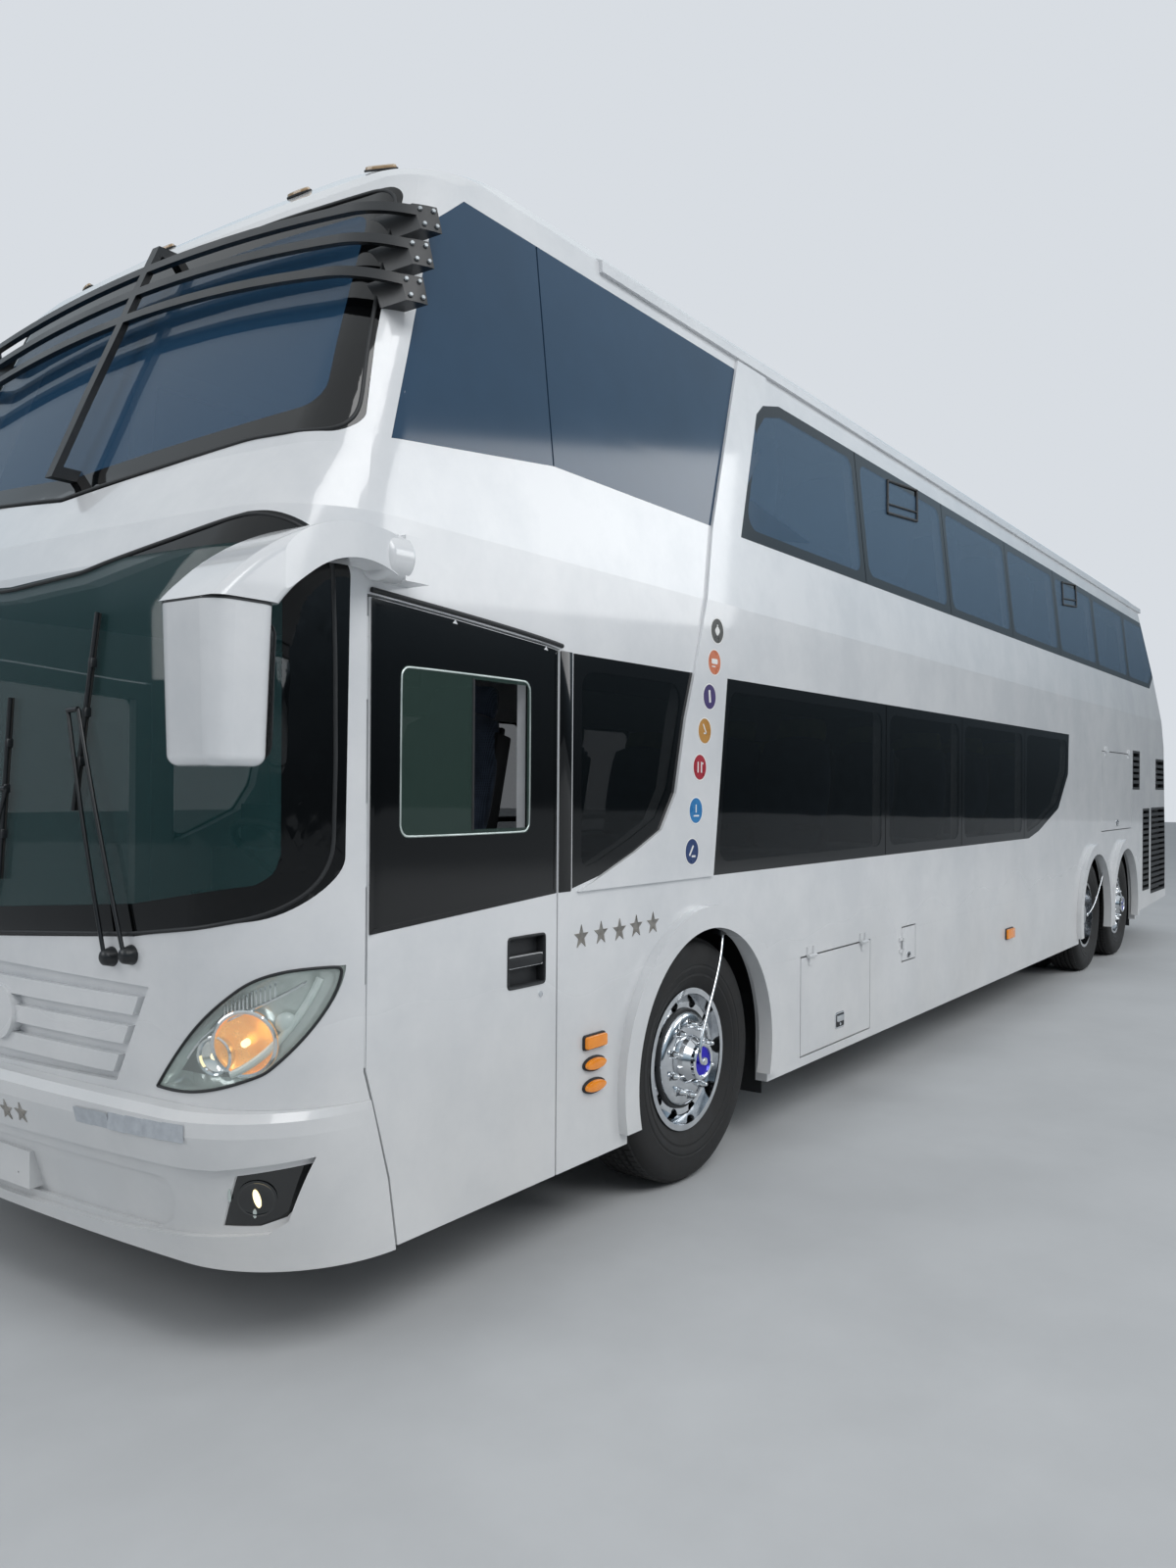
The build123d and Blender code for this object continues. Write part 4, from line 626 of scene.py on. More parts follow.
for hand, side in hands:
    dressPanes(
        "sideGlass" + side.capitalize(), "side_glass_" + side, "coach",
        ["privacyGlass", "saloonGlass", "solarFilm", "ceramicBand"],
        {**paneRecipes["side"], "outward": (0, hand, 0)}, sidePaneFinish,
    )
dressPanes(
    "screenPanes", "screens", "coach", ["screenGlass", "upperScreenGlass", "ceramicBand"],
    {**paneRecipes["screens"], "outward": (1, 0, 0)}, lambda centre: int(centre.z > filmEdge[1]),
)
sealLines = {
    "lower": [
        (0, 1176), (350, 1201), (700, 1226), (990, 1264), (1150, 1299), (1216, 1336), (1258, 1390),
        (1276, 1470), (1277, 1750), (1274, 2050), (1268, 2316), (1234, 2383), (1181, 2425), (1092, 2446),
        (780, 2392), (400, 2330), (0, 2312),
    ],
    "upper": [
        (0, 2622), (400, 2664), (900, 2712), (1190, 2703), (1223, 2736), (1226, 2790), (1190, 3010),
        (1150, 3250), (1104, 3556), (1050, 3597), (600, 3612), (0, 3615),
    ],
}
sealCord = {"step": 70, "inset": 12, "proud": 1, "radius": 6.5}
aroundScreens = ["screens", "front_mask"]
screenSeals = bmesh.new()
for line in sealLines.values():
    loop = line + [(-y, z) for y, z in reversed(line[1:-1])]
    middleZ = sum(z for _, z in loop) / len(loop)
    route = []
    for (ya, za), (yb, zb) in zip(loop, loop[1:] + loop[:1]):
        steps = max(1, round(math.hypot(yb - ya, zb - za) / sealCord["step"]))
        for step in range(steps):
            y, z = ya + (yb - ya) * step / steps, za + (zb - za) * step / steps
            pull = sealCord["inset"] / math.hypot(y, z - middleZ)  # towards the screen's middle
            place = onFront(aroundScreens, y - y * pull, z - (z - middleZ) * pull)
            route.append(pointOff(place, sealCord["proud"]))
    pipe(screenSeals, closed(route), sealCord["radius"])
newPiece("screenSeals", screenSeals, "coach", ["mouldedAbs"], 40)
print("panes bordered")

# Tyres: ribbed sidewalls and blocks on five tread ribs, over the same carcass as the CAD rings
tyreShape = {
    "halfProfile": [  # radius, offset from the tyre's middle
        (508, 0), (508, 16), (499, 18), (499, 26), (508, 28), (508, 54), (499, 56), (499, 64), (508, 66),
        (506, 103), (503, 112), (494, 128), (478, 139), (452, 144.5), (430, 146), (404, 146), (400, 143.5),
        (394, 143.5), (390, 145.5), (368, 142), (364, 139), (358, 138.5), (354, 140), (336, 132), (316, 119),
        (306, 112), (300, 107.2), (290.5, 107.2),
    ],
    "steps": 84,
    "treadRadius": 505.5,  # what lies outside it is tread
    "blockGap": 2.6,
    "blockHigh": 8.0,
    "middles": {"front": [1106], "drive": [1106, 776], "tag": [1106]},  # from the coach's middle
}
wheelPlaces = {"front": frontAxleX, "drive": driveAxleX, "tag": tagAxleX}
wheels = [(axle, x, hand, side) for axle, x in wheelPlaces.items() for hand, side in hands]


def addTyre(shape, place, recipe):
    half = recipe["halfProfile"]
    carcass = bmesh.new()
    turned(carcass, closed([(r, -h) for r, h in reversed(half[1:])] + half), place, steps=recipe["steps"])
    axis = place.to_3x3().col[2]
    hub = place.translation
    tread = []
    for face in carcass.faces:
        offset = face.calc_center_median() - hub
        spoke = offset - axis * offset.dot(axis)
        if spoke.length > recipe["treadRadius"] / 1000 and face.normal.dot(spoke.normalized()) > 0.9:
            tread.append(face)
    bmesh.ops.inset_individual(
        carcass, faces=tread, thickness=recipe["blockGap"] / 1000, depth=recipe["blockHigh"] / 1000,
        use_even_offset=True,
    )
    join(shape, carcass)


for axle, axleX, hand, side in wheels:
    tyreMesh = bmesh.new()
    for middle in tyreShape["middles"][axle]:
        addTyre(tyreMesh, facingFrame((axleX, hand * middle / 1000, wheelZ), (0, hand, 0)), tyreShape)
    tyrePiece = newPiece(
        "treadedTyre" + axle.capitalize() + side.capitalize(), tyreMesh, "wheel_" + axle + "_" + side,
        ["tyreRubber"], 30,
    )
    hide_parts("tyre_" + axle + "_" + side)
print("tyres treaded")

# Wheel faces: raised cover inside a dark ring, chrome nut caps, hub opening with a coloured disc
wheelFace = {  # profiles: radius, distance from the coach's middle; a nut cap's height is from its foot
    "cover": [
        (92, 1196), (92, 1224), (96, 1229), (104, 1231), (150, 1226), (182, 1219), (194, 1213), (199, 1204),
        (199, 1190), (92, 1190),
    ],
    "ring": [(200, 1180), (200, 1203), (203, 1205), (208, 1205), (210, 1203), (210, 1180)],
    "hubRing": [(62, 1284), (62, 1296), (66, 1299), (74, 1299), (79, 1294), (80, 1280), (72, 1280)],
    "hubDisc": [(0, 1291), (60, 1291), (60, 1288), (0, 1288)],
    "rearRing": [(128, 1100), (128, 1122), (133, 1126), (142, 1122), (146, 1100)],
    "nutCap": [(0, 44), (7, 43), (10, 39), (11, 32), (15, 26), (17.5, 12), (19, 4), (22, 0), (0, 0)],
    "nuts": 10,
    "singleNuts": (150.0, 1222.0),  # circle's radius, the caps' feet from the coach's middle
    "twinNuts": (167.5, 965.0),
}


def nutCaps(shape, axis, recipe, radius, foot):
    for i in range(recipe["nuts"]):
        a = math.pi * 2 * (i + 0.5) / recipe["nuts"]
        turned(shape, recipe["nutCap"], moved(axis, radius * math.cos(a), radius * math.sin(a), foot), 1, 12)


for axle, axleX, hand, side in wheels:
    axis = facingFrame((axleX, 0, wheelZ), (0, hand, 0))
    trim = bmesh.new()
    if axle == "drive":
        nutCaps(trim, axis, wheelFace, *wheelFace["twinNuts"])
        turned(trim, closed(wheelFace["rearRing"]), axis, 0, 48)
    else:
        for kind, coat, steps in (("cover", 0, 64), ("ring", 2, 64), ("hubRing", 1, 48)):
            turned(trim, closed(wheelFace[kind]), axis, coat, steps)
        turned(trim, wheelFace["hubDisc"], axis, 3, 48)
        nutCaps(trim, axis, wheelFace, *wheelFace["singleNuts"])
    newPiece(
        "wheelTrim" + axle.capitalize() + side.capitalize(), trim, "wheel_" + axle + "_" + side,
        ["polishedAlloy", "chrome", "mouldedAbs", "hubFilm"],
    )
print("wheel faces dressed")

# Front lamps: clear cover over a grey metallised housing, seal, round lamps, pale strip
lampSet = {
    "outlineArcs": [  # y, z in mm: start, middle, end of each arc
        [(795, 800), (930, 958), (1080, 1093)],
        [(1080, 1093), (1175, 1148), (1280, 1162)],
        [(1280, 1162), (1236, 985), (1150, 866)],
        [(1150, 866), (1000, 812), (795, 800)],
    ],
    "middle": (1060, 970),
    "lowest": 0.75,  # metres: the fog lamps lie below
    "facing": 0.18,
    "coverThick": 4.0,
    "housing": {"sink": 7.0, "depth": 62.0, "wall": 1.5},
    "units": [  # the large one's bowl carries the painted glow
        {"at": (1097, 946), "sink": 24, "bowl": 1, "profile": [
            (0, -28), (84, -28), (96, -6), (96, 6), (91, 9), (85, 7), (82, -2), (66, -16), (40, -24),
            (16, -26), (0, -26)]},
        {"at": (1010, 908), "sink": 18, "bowl": 0, "profile": [
            (0, -26), (50, -26), (58, -4), (58, 4), (54, 7), (49, 5), (46, -4), (30, -18), (12, -22),
            (0, -22)]},
    ],
    "bowlHeights": (-26.2, 3.0),
    "bulb": [(0, 12), (7, 10), (11, 3), (11, -20), (0, -20)],
    "wing": {"sink": 20, "radius": 5, "line": [
        (905, 892), (960, 962), (1060, 1022), (1170, 1068), (1232, 1120)]},
    "ribs": {"sink": 26, "size": (5, 44, 7), "feet": [(1040 + 11 * i, 1034 + 5.2 * i) for i in range(13)]},
    "sideLens": {"sink": 24, "at": (1192, 1004), "profile": [(0, 12), (14, 10), (26, 3), (30, -4), (0, -4)]},
    "strip": {"sink": 19, "radius": 12, "line": [(1252, 1128), (1216, 1000), (1150, 902), (1060, 858)]},
    "seal": {"share": 0.985, "proud": 1, "radius": 4.5},
}


def arcPoints(start, middle, end, steps=12):  # points of the arc through three places
    a, b, c = (Vector(p) for p in (start, middle, end))
    u, v = b - a, c - a
    turn = 2 * (u.x * v.y - u.y * v.x)
    centre = a + Vector((
        v.y * u.length_squared - u.y * v.length_squared, u.x * v.length_squared - v.x * u.length_squared,
    )) / turn
    sweep = (a - centre).angle_signed(c - centre)
    radius = (a - centre).length
    first = math.atan2(a.y - centre.y, a.x - centre.x)
    return [
        centre + radius * Vector((math.cos(first - sweep * i / steps), math.sin(first - sweep * i / steps)))
        for i in range(steps)
    ]


def lampFrame(y, z, hand, sink=0.0):  # a frame on the lamp's outer skin, or this far behind it
    return moved(onFront(["front_lamps"], hand * y, z), z=-sink)


def outerSkin(node, wanted):
    # the front faces of a node's solids that pass a test, as a mesh of their own
    skin = bmesh.new()
    skin.from_mesh(cadNodes[node].data)
    bmesh.ops.remove_doubles(skin, verts=skin.verts, dist=1e-5)
    bmesh.ops.delete(skin, geom=[f for f in skin.faces if not wanted(f)], context="FACES")
    return skin


def lampLine(shape, part, hand, coat):  # a rod along a part's points, sunk behind the cover
    line = [lampFrame(y, z, hand, part["sink"]).translation for y, z in part["line"]]
    pipe(shape, line, part["radius"], coat)


headSkin = outerSkin(
    "front_lamps",
    lambda f: f.normal.x > lampSet["facing"] and f.calc_center_median().z > lampSet["lowest"],
)
housing = headSkin.copy()
bmesh.ops.solidify(headSkin, geom=headSkin.faces, thickness=lampSet["coverThick"] / 1000)
lampCover = newPiece("headlampCovers", headSkin, "coach", ["lampCover"], 25)
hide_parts("front_lamps")

# The housing is the same skin set back, drawn inward and left open at its mouth
sink, depth, wall = (lampSet["housing"][key] / 1000 for key in ("sink", "depth", "wall"))
bmesh.ops.translate(housing, verts=housing.verts, vec=(-sink, 0, 0))
mouth = list(housing.faces)
deep = bmesh.ops.extrude_face_region(housing, geom=mouth, use_keep_orig=True)
deepVerts = [g for g in deep["geom"] if isinstance(g, bmesh.types.BMVert)]
bmesh.ops.translate(housing, verts=deepVerts, vec=(-depth, 0, 0))
bmesh.ops.recalc_face_normals(housing, faces=housing.faces)
bmesh.ops.delete(housing, geom=mouth, context="FACES_ONLY")
bmesh.ops.reverse_faces(housing, faces=housing.faces)
bmesh.ops.solidify(housing, geom=housing.faces, thickness=wall)
newPiece("headlampHousings", housing, "coach", ["lampChrome"], 25)

lampUnits = bmesh.new()
lampSeals = bmesh.new()
lampMiddle = Vector(lampSet["middle"])
for hand, _ in hands:
    for unit in lampSet["units"]:
        seat = lampFrame(*unit["at"], hand, unit["sink"])
        bowl = bmesh.new()
        turned(bowl, unit["profile"], seat, 0, 40)
        bowlFoot, bowlTop = lampSet["bowlHeights"]
        for face in bowl.faces:
            level = (seat.inverted() @ face.calc_center_median()).z * 1000
            # the inner faces of the bowl take the unit's finish, which is the painted glow in the large unit
            if bowlFoot < level < bowlTop and face.normal.dot(seat.col[2].xyz) > 0:
                face.material_index = unit["bowl"]
        join(lampUnits, bowl)
        turned(lampUnits, lampSet["bulb"], seat, 2, 16)
    lampLine(lampUnits, lampSet["wing"], hand, 0)
    ribs = lampSet["ribs"]
    for y, z in ribs["feet"]:
        bar(lampUnits, ribs["size"], lampFrame(y, z, hand, ribs["sink"]), 0, 2)
    lens = lampSet["sideLens"]
    turned(lampUnits, lens["profile"], lampFrame(*lens["at"], hand, lens["sink"]), 3, 24)
    lampLine(lampUnits, lampSet["strip"], hand, 3)
    seal = lampSet["seal"]
    edge = [p for arc in lampSet["outlineArcs"] for p in arcPoints(*arc)]
    edge = [lampMiddle + (p - lampMiddle) * seal["share"] for p in edge]
    sealLine = [pointOff(lampFrame(p.x, p.y, hand), seal["proud"]) for p in edge]
    pipe(lampSeals, closed(sealLine), seal["radius"])
newPiece(
    "headlampUnits", lampUnits, "coach", ["chrome", "glowPaintedReflector", "litBulb", "clearLens"], 30,
)
newPiece("headlampSeals", lampSeals, "coach", ["mouldedAbs"], 40)

# Fog lamps: smoked glass with a round lens, one lit spot and two pale ones
fogLamp = {
    "at": (1118, 516),
    "lens": [(0, 1), (56, 1), (56, 3), (50, 5), (45, 2), (0, 2)],
    "spots": [  # width, height, points, thickness, x, y, turn, finish
        (20, 58, 28, 6, 0, 0, 12, 2), (12, 30, 20, 4, -8, -47, 0, 1), (10, 42, 20, 4, -75, 10, 0, 1),
    ],
}
fogs = outerSkin("front_lamps", lambda f: f.calc_center_median().z < lampSet["lowest"])
for hand, _ in hands:
    seat = lampFrame(*fogLamp["at"], hand)
    turned(fogs, fogLamp["lens"], seat, 0, 40)
    for wide, high, points, thick, x, y, turn, coat in fogLamp["spots"]:
        place = moved(seat, hand * x, y, 0, hand * turn)
        plate(fogs, oval(wide, high, points), thick, place, coat, thick / 2)
fogPiece = newPiece("fogLamps", fogs, "coach", ["smokedLens", "lampChrome", "litBulb"], 25)
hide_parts("front_lamps")
print("front lamps made")

# Driver's door: black glass with a clear sliding half, post, drip rail
doorDress = {
    "skinY": 1300,
    "window": (1203, 1831, 1515, 2032),  # x from and to, z from and to
    "corner": 36,
    "rim": {"inset": 4, "sink": 1, "radius": 3.5},
    "sash": {"across": 17, "heights": (-243, -120, 120, 243), "sink": 2, "radius": 6},
    "border": {"lane": (1, 16), "thick": 1.2, "outline": [
        (1052, 1299), (1052, 2148), (1120, 2157), (1590, 2193), (1951, 2215), (1951, 1240)]},
    "post": (966, 1040, 1300, 2150),
    "dripRail": {"y": 1303, "radius": 8, "line": [
        (1030, 2166), (1120, 2178), (1360, 2198), (1590, 2214), (1953, 2236)]},
}
x0, x1, z0, z1 = doorDress["window"]
windowCentre = spot((x0 + x1) / 2, doorDress["skinY"], (z0 + z1) / 2)
windowOutline = [
    Vector((x / 1000 - windowCentre.x, z / 1000 + windowCentre.z))
    for x, z in softRectangle(x1 - x0, z1 - z0, doorDress["corner"])
]
dressPanes(
    "doorGlass", "driver_door_glass", "driver_door", ["doorPane", "ceramicBand"],
    {**paneRecipes["door"], "outward": (0, 1, 0), "clear": windowOutline}, lambda centre: 0,
)
windowFrame = facingFrame(windowCentre, (0, 1, 0))
rim, sash = doorDress["rim"], doorDress["sash"]
doorTrim = bmesh.new()
rimShape = softRectangle(x1 - x0 - 2 * rim["inset"], z1 - z0 - 2 * rim["inset"], doorDress["corner"], 4)
pipe(doorTrim, closed([pointOff(moved(windowFrame, x, z), -rim["sink"]) for x, z in rimShape]), rim["radius"])
sashLine = [moved(windowFrame, sash["across"], z, -sash["sink"]).translation for z in sash["heights"]]
pipe(doorTrim, sashLine, sash["radius"], 1)
newPiece("doorWindowTrim", doorTrim, "driver_door", ["lampChrome", "mouldedAbs"], 40)

border = doorDress["border"]
borderFrame = facingFrame(spot(0, doorDress["skinY"], 0), (0, 1, 0))
edgePoints = [Vector((-x, z)) for x, z in border["outline"]]
edgeCentre = sum(edgePoints, Vector((0, 0))) / len(edgePoints)
near, far = border["lane"]
doorEdge = bmesh.new()
for a, b in zip(edgePoints, edgePoints[1:] + edgePoints[:1]):
    along = (b - a).normalized()
    inward = Vector((-along.y, along.x))
    if (edgeCentre - a).dot(inward) < 0:
        inward = -inward
    lane = [a + (along + inward) * near, b + (inward - along) * near]
    lane += [b + (inward - along) * far, a + (along + inward) * far]
    plate(doorEdge, lane, border["thick"], borderFrame)
newPiece("doorGlassBorder", doorEdge, "driver_door", ["ceramicBand"], 30)

bodyTrim = bmesh.new()
x0, x1, z0, z1 = doorDress["post"]
post = facingFrame(spot((x0 + x1) / 2, doorDress["skinY"], (z0 + z1) / 2), (0, 1, 0))
plate(bodyTrim, softRectangle(x1 - x0, z1 - z0, 4, 2), 2, post, 0, 1)
drip = doorDress["dripRail"]
pipe(bodyTrim, [spot(x, drip["y"], z) for x, z in drip["line"]], drip["radius"], 1)
newPiece("doorPostAndDrip", bodyTrim, "coach", ["ceramicBand", "mouldedAbs"], 30)
print("door dressed")

# Coloured discs down the swept pillar, silver stars behind the door and on the bumper
badges = {
    "discs": [  # x, z, finish, strokes of the plain sign: x, y, width, height, turn
        (-67, 2341, "discGraphite", [(0, 0, 34, 34, 45), (0, 24, 10, 6, 0)]),
        (-44, 2205, "discOrange", [(0, 4, 52, 22, 0), (-8, -18, 30, 5, 0)]),
        (-4, 2056, "discPurple", [(0, 2, 16, 54, 8)]),
        (36, 1910, "discOchre", [(0, 8, 7, 50, 35), (4, -10, 26, 6, 0)]),
        (75, 1757, "discCrimson", [(-16, 0, 9, 46, 0), (12, 0, 9, 46, 0), (20, 16, 14, 8, 0)]),
        (105, 1577, "discBlue", [(0, 8, 8, 34, 0), (2, -22, 44, 6, 0)]),
        (135, 1408, "discNavy", [(-6, 4, 10, 52, -38), (12, -20, 30, 8, 0)]),
    ],
    "discSize": 114,
    "whiteEdge": 5,
    "sideStars": (45, [(901, 1131), (776, 1133), (653, 1132), (537, 1136), (416, 1137)]),  # radius, places
    "bumperStars": (36, [(145, 646), (230, 650)]),
}


def starOutline(radius):
    points = []
    for i in range(10):
        reach = radius if i % 2 == 0 else radius * 0.4
        a = math.pi / 2 + math.pi * i / 5
        points.append((reach * math.cos(a), reach * math.sin(a)))
    return points


discs = bmesh.new()
outer, inner = badges["discSize"], badges["discSize"] - 2 * badges["whiteEdge"]
for number, (x, z, _, strokes) in enumerate(badges["discs"]):
    seat = onSide(["swoosh_pillars", "lower_side_left"], x, z)
    plate(discs, oval(outer, outer, 48), 0.8, seat, 0)
    plate(discs, oval(inner, inner, 48), 1.2, seat, number + 1)
    for across, up, width, height, turn in strokes:
        stroke = softRectangle(width, height, min(width, height) * 0.3, 3)
        plate(discs, stroke, 1.7, moved(seat, across, up, 0, turn), 0)
discFinishes = ["clearCoatWhite"] + [disc[2] for disc in badges["discs"]]
newPiece("pillarDiscs", discs, "coach", discFinishes, 40)
stars = bmesh.new()
starWalls = (("sideStars", "lower_side_left", onSide), ("bumperStars", "front_bumper", onFront))
for kind, node, onWall in starWalls:
    radius, places = badges[kind]
    for place in places:
        plate(stars, starOutline(radius), 3, onWall([node], *place), 0, 0.8)
newPiece("silverStars", stars, "coach", ["anodisedStar"], 30)
print("discs and stars placed")

# Wipers: two-rod arms with a carrier and a blade, capped pivots below the glass
wiperSet = {
    "arms": [  # y, z of two pivots, two ends of the carrier, two ends of the blade
        ([(602, 1160), (692, 1172)], [(394, 1894), (447, 1897)], [(425, 1590), (521, 2185)]),
        ([(-200, 1160), (-110, 1166)], [(10, 1650), (62, 1655)], [(19, 1362), (65, 1946)]),
    ],
    "pivotCap": [(0, 38), (14, 36), (22, 30), (26, 16), (30, 2), (30, -4), (0, -4)],
    "rod": {"proud": (26, 34, 22), "radius": 6.5},  # at its foot, middle and head
    "carrier": {"proud": 24, "radius": 8},
    "rubber": {"proud": 7, "radius": 4.5},
    "spine": {"proud": 17, "radius": 7},
    "claw": {"proud": 12, "size": (22, 30, 20), "shares": (0.25, 0.5, 0.75)},  # shares of the blade's length
    "stations": 8,
}


def screenPoint(place, proud):
    return pointOff(onFront(aroundScreens, *place), proud)


def between(a, b, share):
    return [p + (q - p) * share for p, q in zip(a, b)]


def rod(shape, a, b, radius, coat=0):  # a straight round bar
    pipe(shape, [a, (a + b) / 2, b], radius, coat)


wiperMesh = bmesh.new()
for pivots, carrier, blade in wiperSet["arms"]:
    for foot, head in zip(pivots, carrier):
        along = zip((foot, between(foot, head, 0.5), head), wiperSet["rod"]["proud"])
        pipe(wiperMesh, [screenPoint(place, proud) for place, proud in along], wiperSet["rod"]["radius"])
        turned(wiperMesh, wiperSet["pivotCap"], onFront(aroundScreens, *foot), 0, 24)
    ends = [screenPoint(head, wiperSet["carrier"]["proud"]) for head in carrier]
    rod(wiperMesh, *ends, wiperSet["carrier"]["radius"])
    stations = [between(*blade, i / wiperSet["stations"]) for i in range(wiperSet["stations"] + 1)]
    for part, coat in ((wiperSet["rubber"], 1), (wiperSet["spine"], 0)):
        pipe(wiperMesh, [screenPoint(place, part["proud"]) for place in stations], part["radius"], coat)
    claw = wiperSet["claw"]
    for share in claw["shares"]:
        place = onFront(["screens"], *between(*blade, share))
        bar(wiperMesh, claw["size"], moved(place, z=claw["proud"]), 0, 4)
wiperPiece = newPiece("screenWipers", wiperMesh, "coach", ["powderCoat", "tyreRubber"], 40)
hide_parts("wipers")

# Mirror heads: dark seam under the arm, mirror plates at the back
mirrorSet = {
    "head": (2438, 2636, 1250, 1492),  # x from and to, y from and to
    "seamZ": 2108,
    "behind": 2200,
    "glass": (184, 330),
    "glassZ": 1905,
    "frame": 7,
}
mirrorTrim = bmesh.new()
x0, x1, y0, y1 = mirrorSet["head"]
wide, high = mirrorSet["glass"]
for hand, _ in hands:
    seam = Matrix.Translation(spot((x0 + x1) / 2, hand * (y0 + y1) / 2, mirrorSet["seamZ"]))
    plate(mirrorTrim, softRectangle(x1 - x0, y1 - y0 + 3, 60, 8), 5, seam, 0)
    start = spot(mirrorSet["behind"], hand * (y0 + y1) / 2, mirrorSet["glassZ"])
    back = onSkin(["mirrors"], start, (1, 0, 0))
    frameShape = softRectangle(wide + 2 * mirrorSet["frame"], high + 2 * mirrorSet["frame"], 40, 6)
    plate(mirrorTrim, frameShape, 3, back, 0, 1)
    plate(mirrorTrim, softRectangle(wide, high, 34, 6), 5, back, 1, 1)
newPiece("mirrorTrim", mirrorTrim, "coach", ["mouldedAbs", "silveredGlass"], 35)
print("wipers and mirrors dressed")

# Seats: crowned pads with sewn channels on moulded shells, covers over the headrests
seatSet = {
    "decks": [  # name, first x, pitch, rows, floor height, headrest cover
        ("Upper", 1100, 960, 12, 2440, "creamCover"), ("Lower", -1500, 980, 5, 900, "limeCover"),
    ],
    "across": [850, 400, -850],
    "stairs": (-720, 1120),  # no seats beside them on the upper deck
    "width": 440,
    "driver": (1180, 620, 900, 500),  # x, y, floor height, width
    "pads": [  # size (its y a share of the seat's width), centre x and z, lean, channels, finish
        ((470, 1.0, 112), (6, 382), 0, 3, 0),
        ((96, 1.0, 640), (-276, 742), 13.5, 4, 0),
        ((80, 0.66, 190), (-400, 1078), 21, 0, 1),
    ],
    "padWidth": 0.985,
    "edges": [  # at both sides: size, centre x and z, distance in from the edge, lean, rounding
        ((90, 26, 560), (-300, 700), 12, 13.5, 11),
        ((300, 36, 34), (-60, 560), 20, 0, 12),
    ],
    "shell": [  # size (a y under 1 is a share of the seat's width), centre x and z, lean, finish, rounding
        ((400, 0.94, 44), (0, 305), 0, 0, 12),
        ((70, 60, 290), (-60, 146), 0, 0, 8),
        ((300, 70, 14), (-40, 7), 0, 0, 4),
        ((26, 0.9, 620), (-320, 700), 13.5, 1, 11),
    ],
    "round": 0.42,  # how far the block is drawn towards the ball
    "ball": 1.12,
    "cuts": 6,
    "channelDeep": 11,
}


def addPad(shape, size, place, channels, coat, recipe):
    # a crowned closed pad: a block drawn towards a ball, with channels pressed into its front
    pad = bmesh.new()
    bmesh.ops.create_cube(pad, size=2)
    bmesh.ops.subdivide_edges(pad, edges=list(pad.edges), cuts=recipe["cuts"], use_grid_fill=True)
    for vert in pad.verts:
        u, v, w = vert.co
        ball = Vector((
            u * math.sqrt(1 - v * v / 2 - w * w / 2 + v * v * w * w / 3),
            v * math.sqrt(1 - w * w / 2 - u * u / 2 + w * w * u * u / 3),
            w * math.sqrt(1 - u * u / 2 - v * v / 2 + u * u * v * v / 3),
        ))
        vert.co = vert.co.lerp(ball * recipe["ball"], recipe["round"])
    bmesh.ops.scale(pad, verts=pad.verts, vec=[s / 2000 for s in size])
    thin = 0 if size[0] < size[2] else 2
    along = 2 - thin
    for vert in pad.verts:
        if channels and abs(vert.co[thin]) > size[thin] / 2000 * 0.5:
            wave = math.cos(math.pi * (channels + 1) * (vert.co[along] * 1000 / size[along] + 0.5))
            pressed = recipe["channelDeep"] / 1000 * max(0.0, -wave) ** 3
            vert.co[thin] -= math.copysign(pressed, vert.co[thin])
    settle(shape, pad, place, coat)


def seatAt(x, y, z, width, recipe):
    # one seat's pads and its hard parts
    def leaning(centre, across, lean):
        return moved(Matrix.Translation(spot(x + centre[0], across, z + centre[1])), turn=-lean, axis="Y")

    pads, shell = bmesh.new(), bmesh.new()
    for size, centre, lean, channels, coat in recipe["pads"]:
        padSize = (size[0], size[1] * width * recipe["padWidth"], size[2])
        addPad(pads, padSize, leaning(centre, y, lean), channels, coat, recipe)
    for edge in (-1, 1):
        for size, centre, inset, lean, ease in recipe["edges"]:
            bar(shell, size, leaning(centre, y + edge * (width / 2 - inset), lean), 1, ease)
    for size, centre, lean, coat, ease in recipe["shell"]:
        wide = size[1] * width if size[1] < 1 else size[1]
        bar(shell, (size[0], wide, size[2]), leaning(centre, y, lean), coat, ease)
    return pads, shell


def copiesOf(source, shifts):  # one mesh repeated at each shift
    gathered = bmesh.new()
    for shift in shifts:
        part = source.copy()
        bmesh.ops.translate(part, verts=part.verts, vec=shift)
        join(gathered, part)
    return gathered


def upholster(node, padName, shellName, pads, shell, covers):
    # the pads and the hard parts as two pieces, over the plain seats of one CAD node
    padPiece = newPiece(padName, pads, "coach", covers, 50)
    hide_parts(node)
    newPiece(shellName, shell, "coach", ["chassisPaint", "mouldedAbs"], 35)


for deckName, first, pitch, rows, deck, cover in seatSet["decks"]:
    shifts = []
    for x in (first - pitch * i for i in range(rows)):
        for y in seatSet["across"]:
            overStairs = deckName == "Upper" and y < 0 and seatSet["stairs"][0] < x < seatSet["stairs"][1]
            if not overStairs:
                shifts.append(Vector((x - first, y, 0)) / 1000)
    pads, shell = (copiesOf(half, shifts) for half in seatAt(first, 0, deck, seatSet["width"], seatSet))
    covers = ["seatMoquette", cover]
    upholster("passenger_seats", "seatPads" + deckName, "seatShells" + deckName, pads, shell, covers)
pads, shell = seatAt(*seatSet["driver"], seatSet)
upholster("driver_seat", "driverSeatPads", "driverSeatShell", pads, shell, ["seatMoquette", "seatMoquette"])
print("seats upholstered")

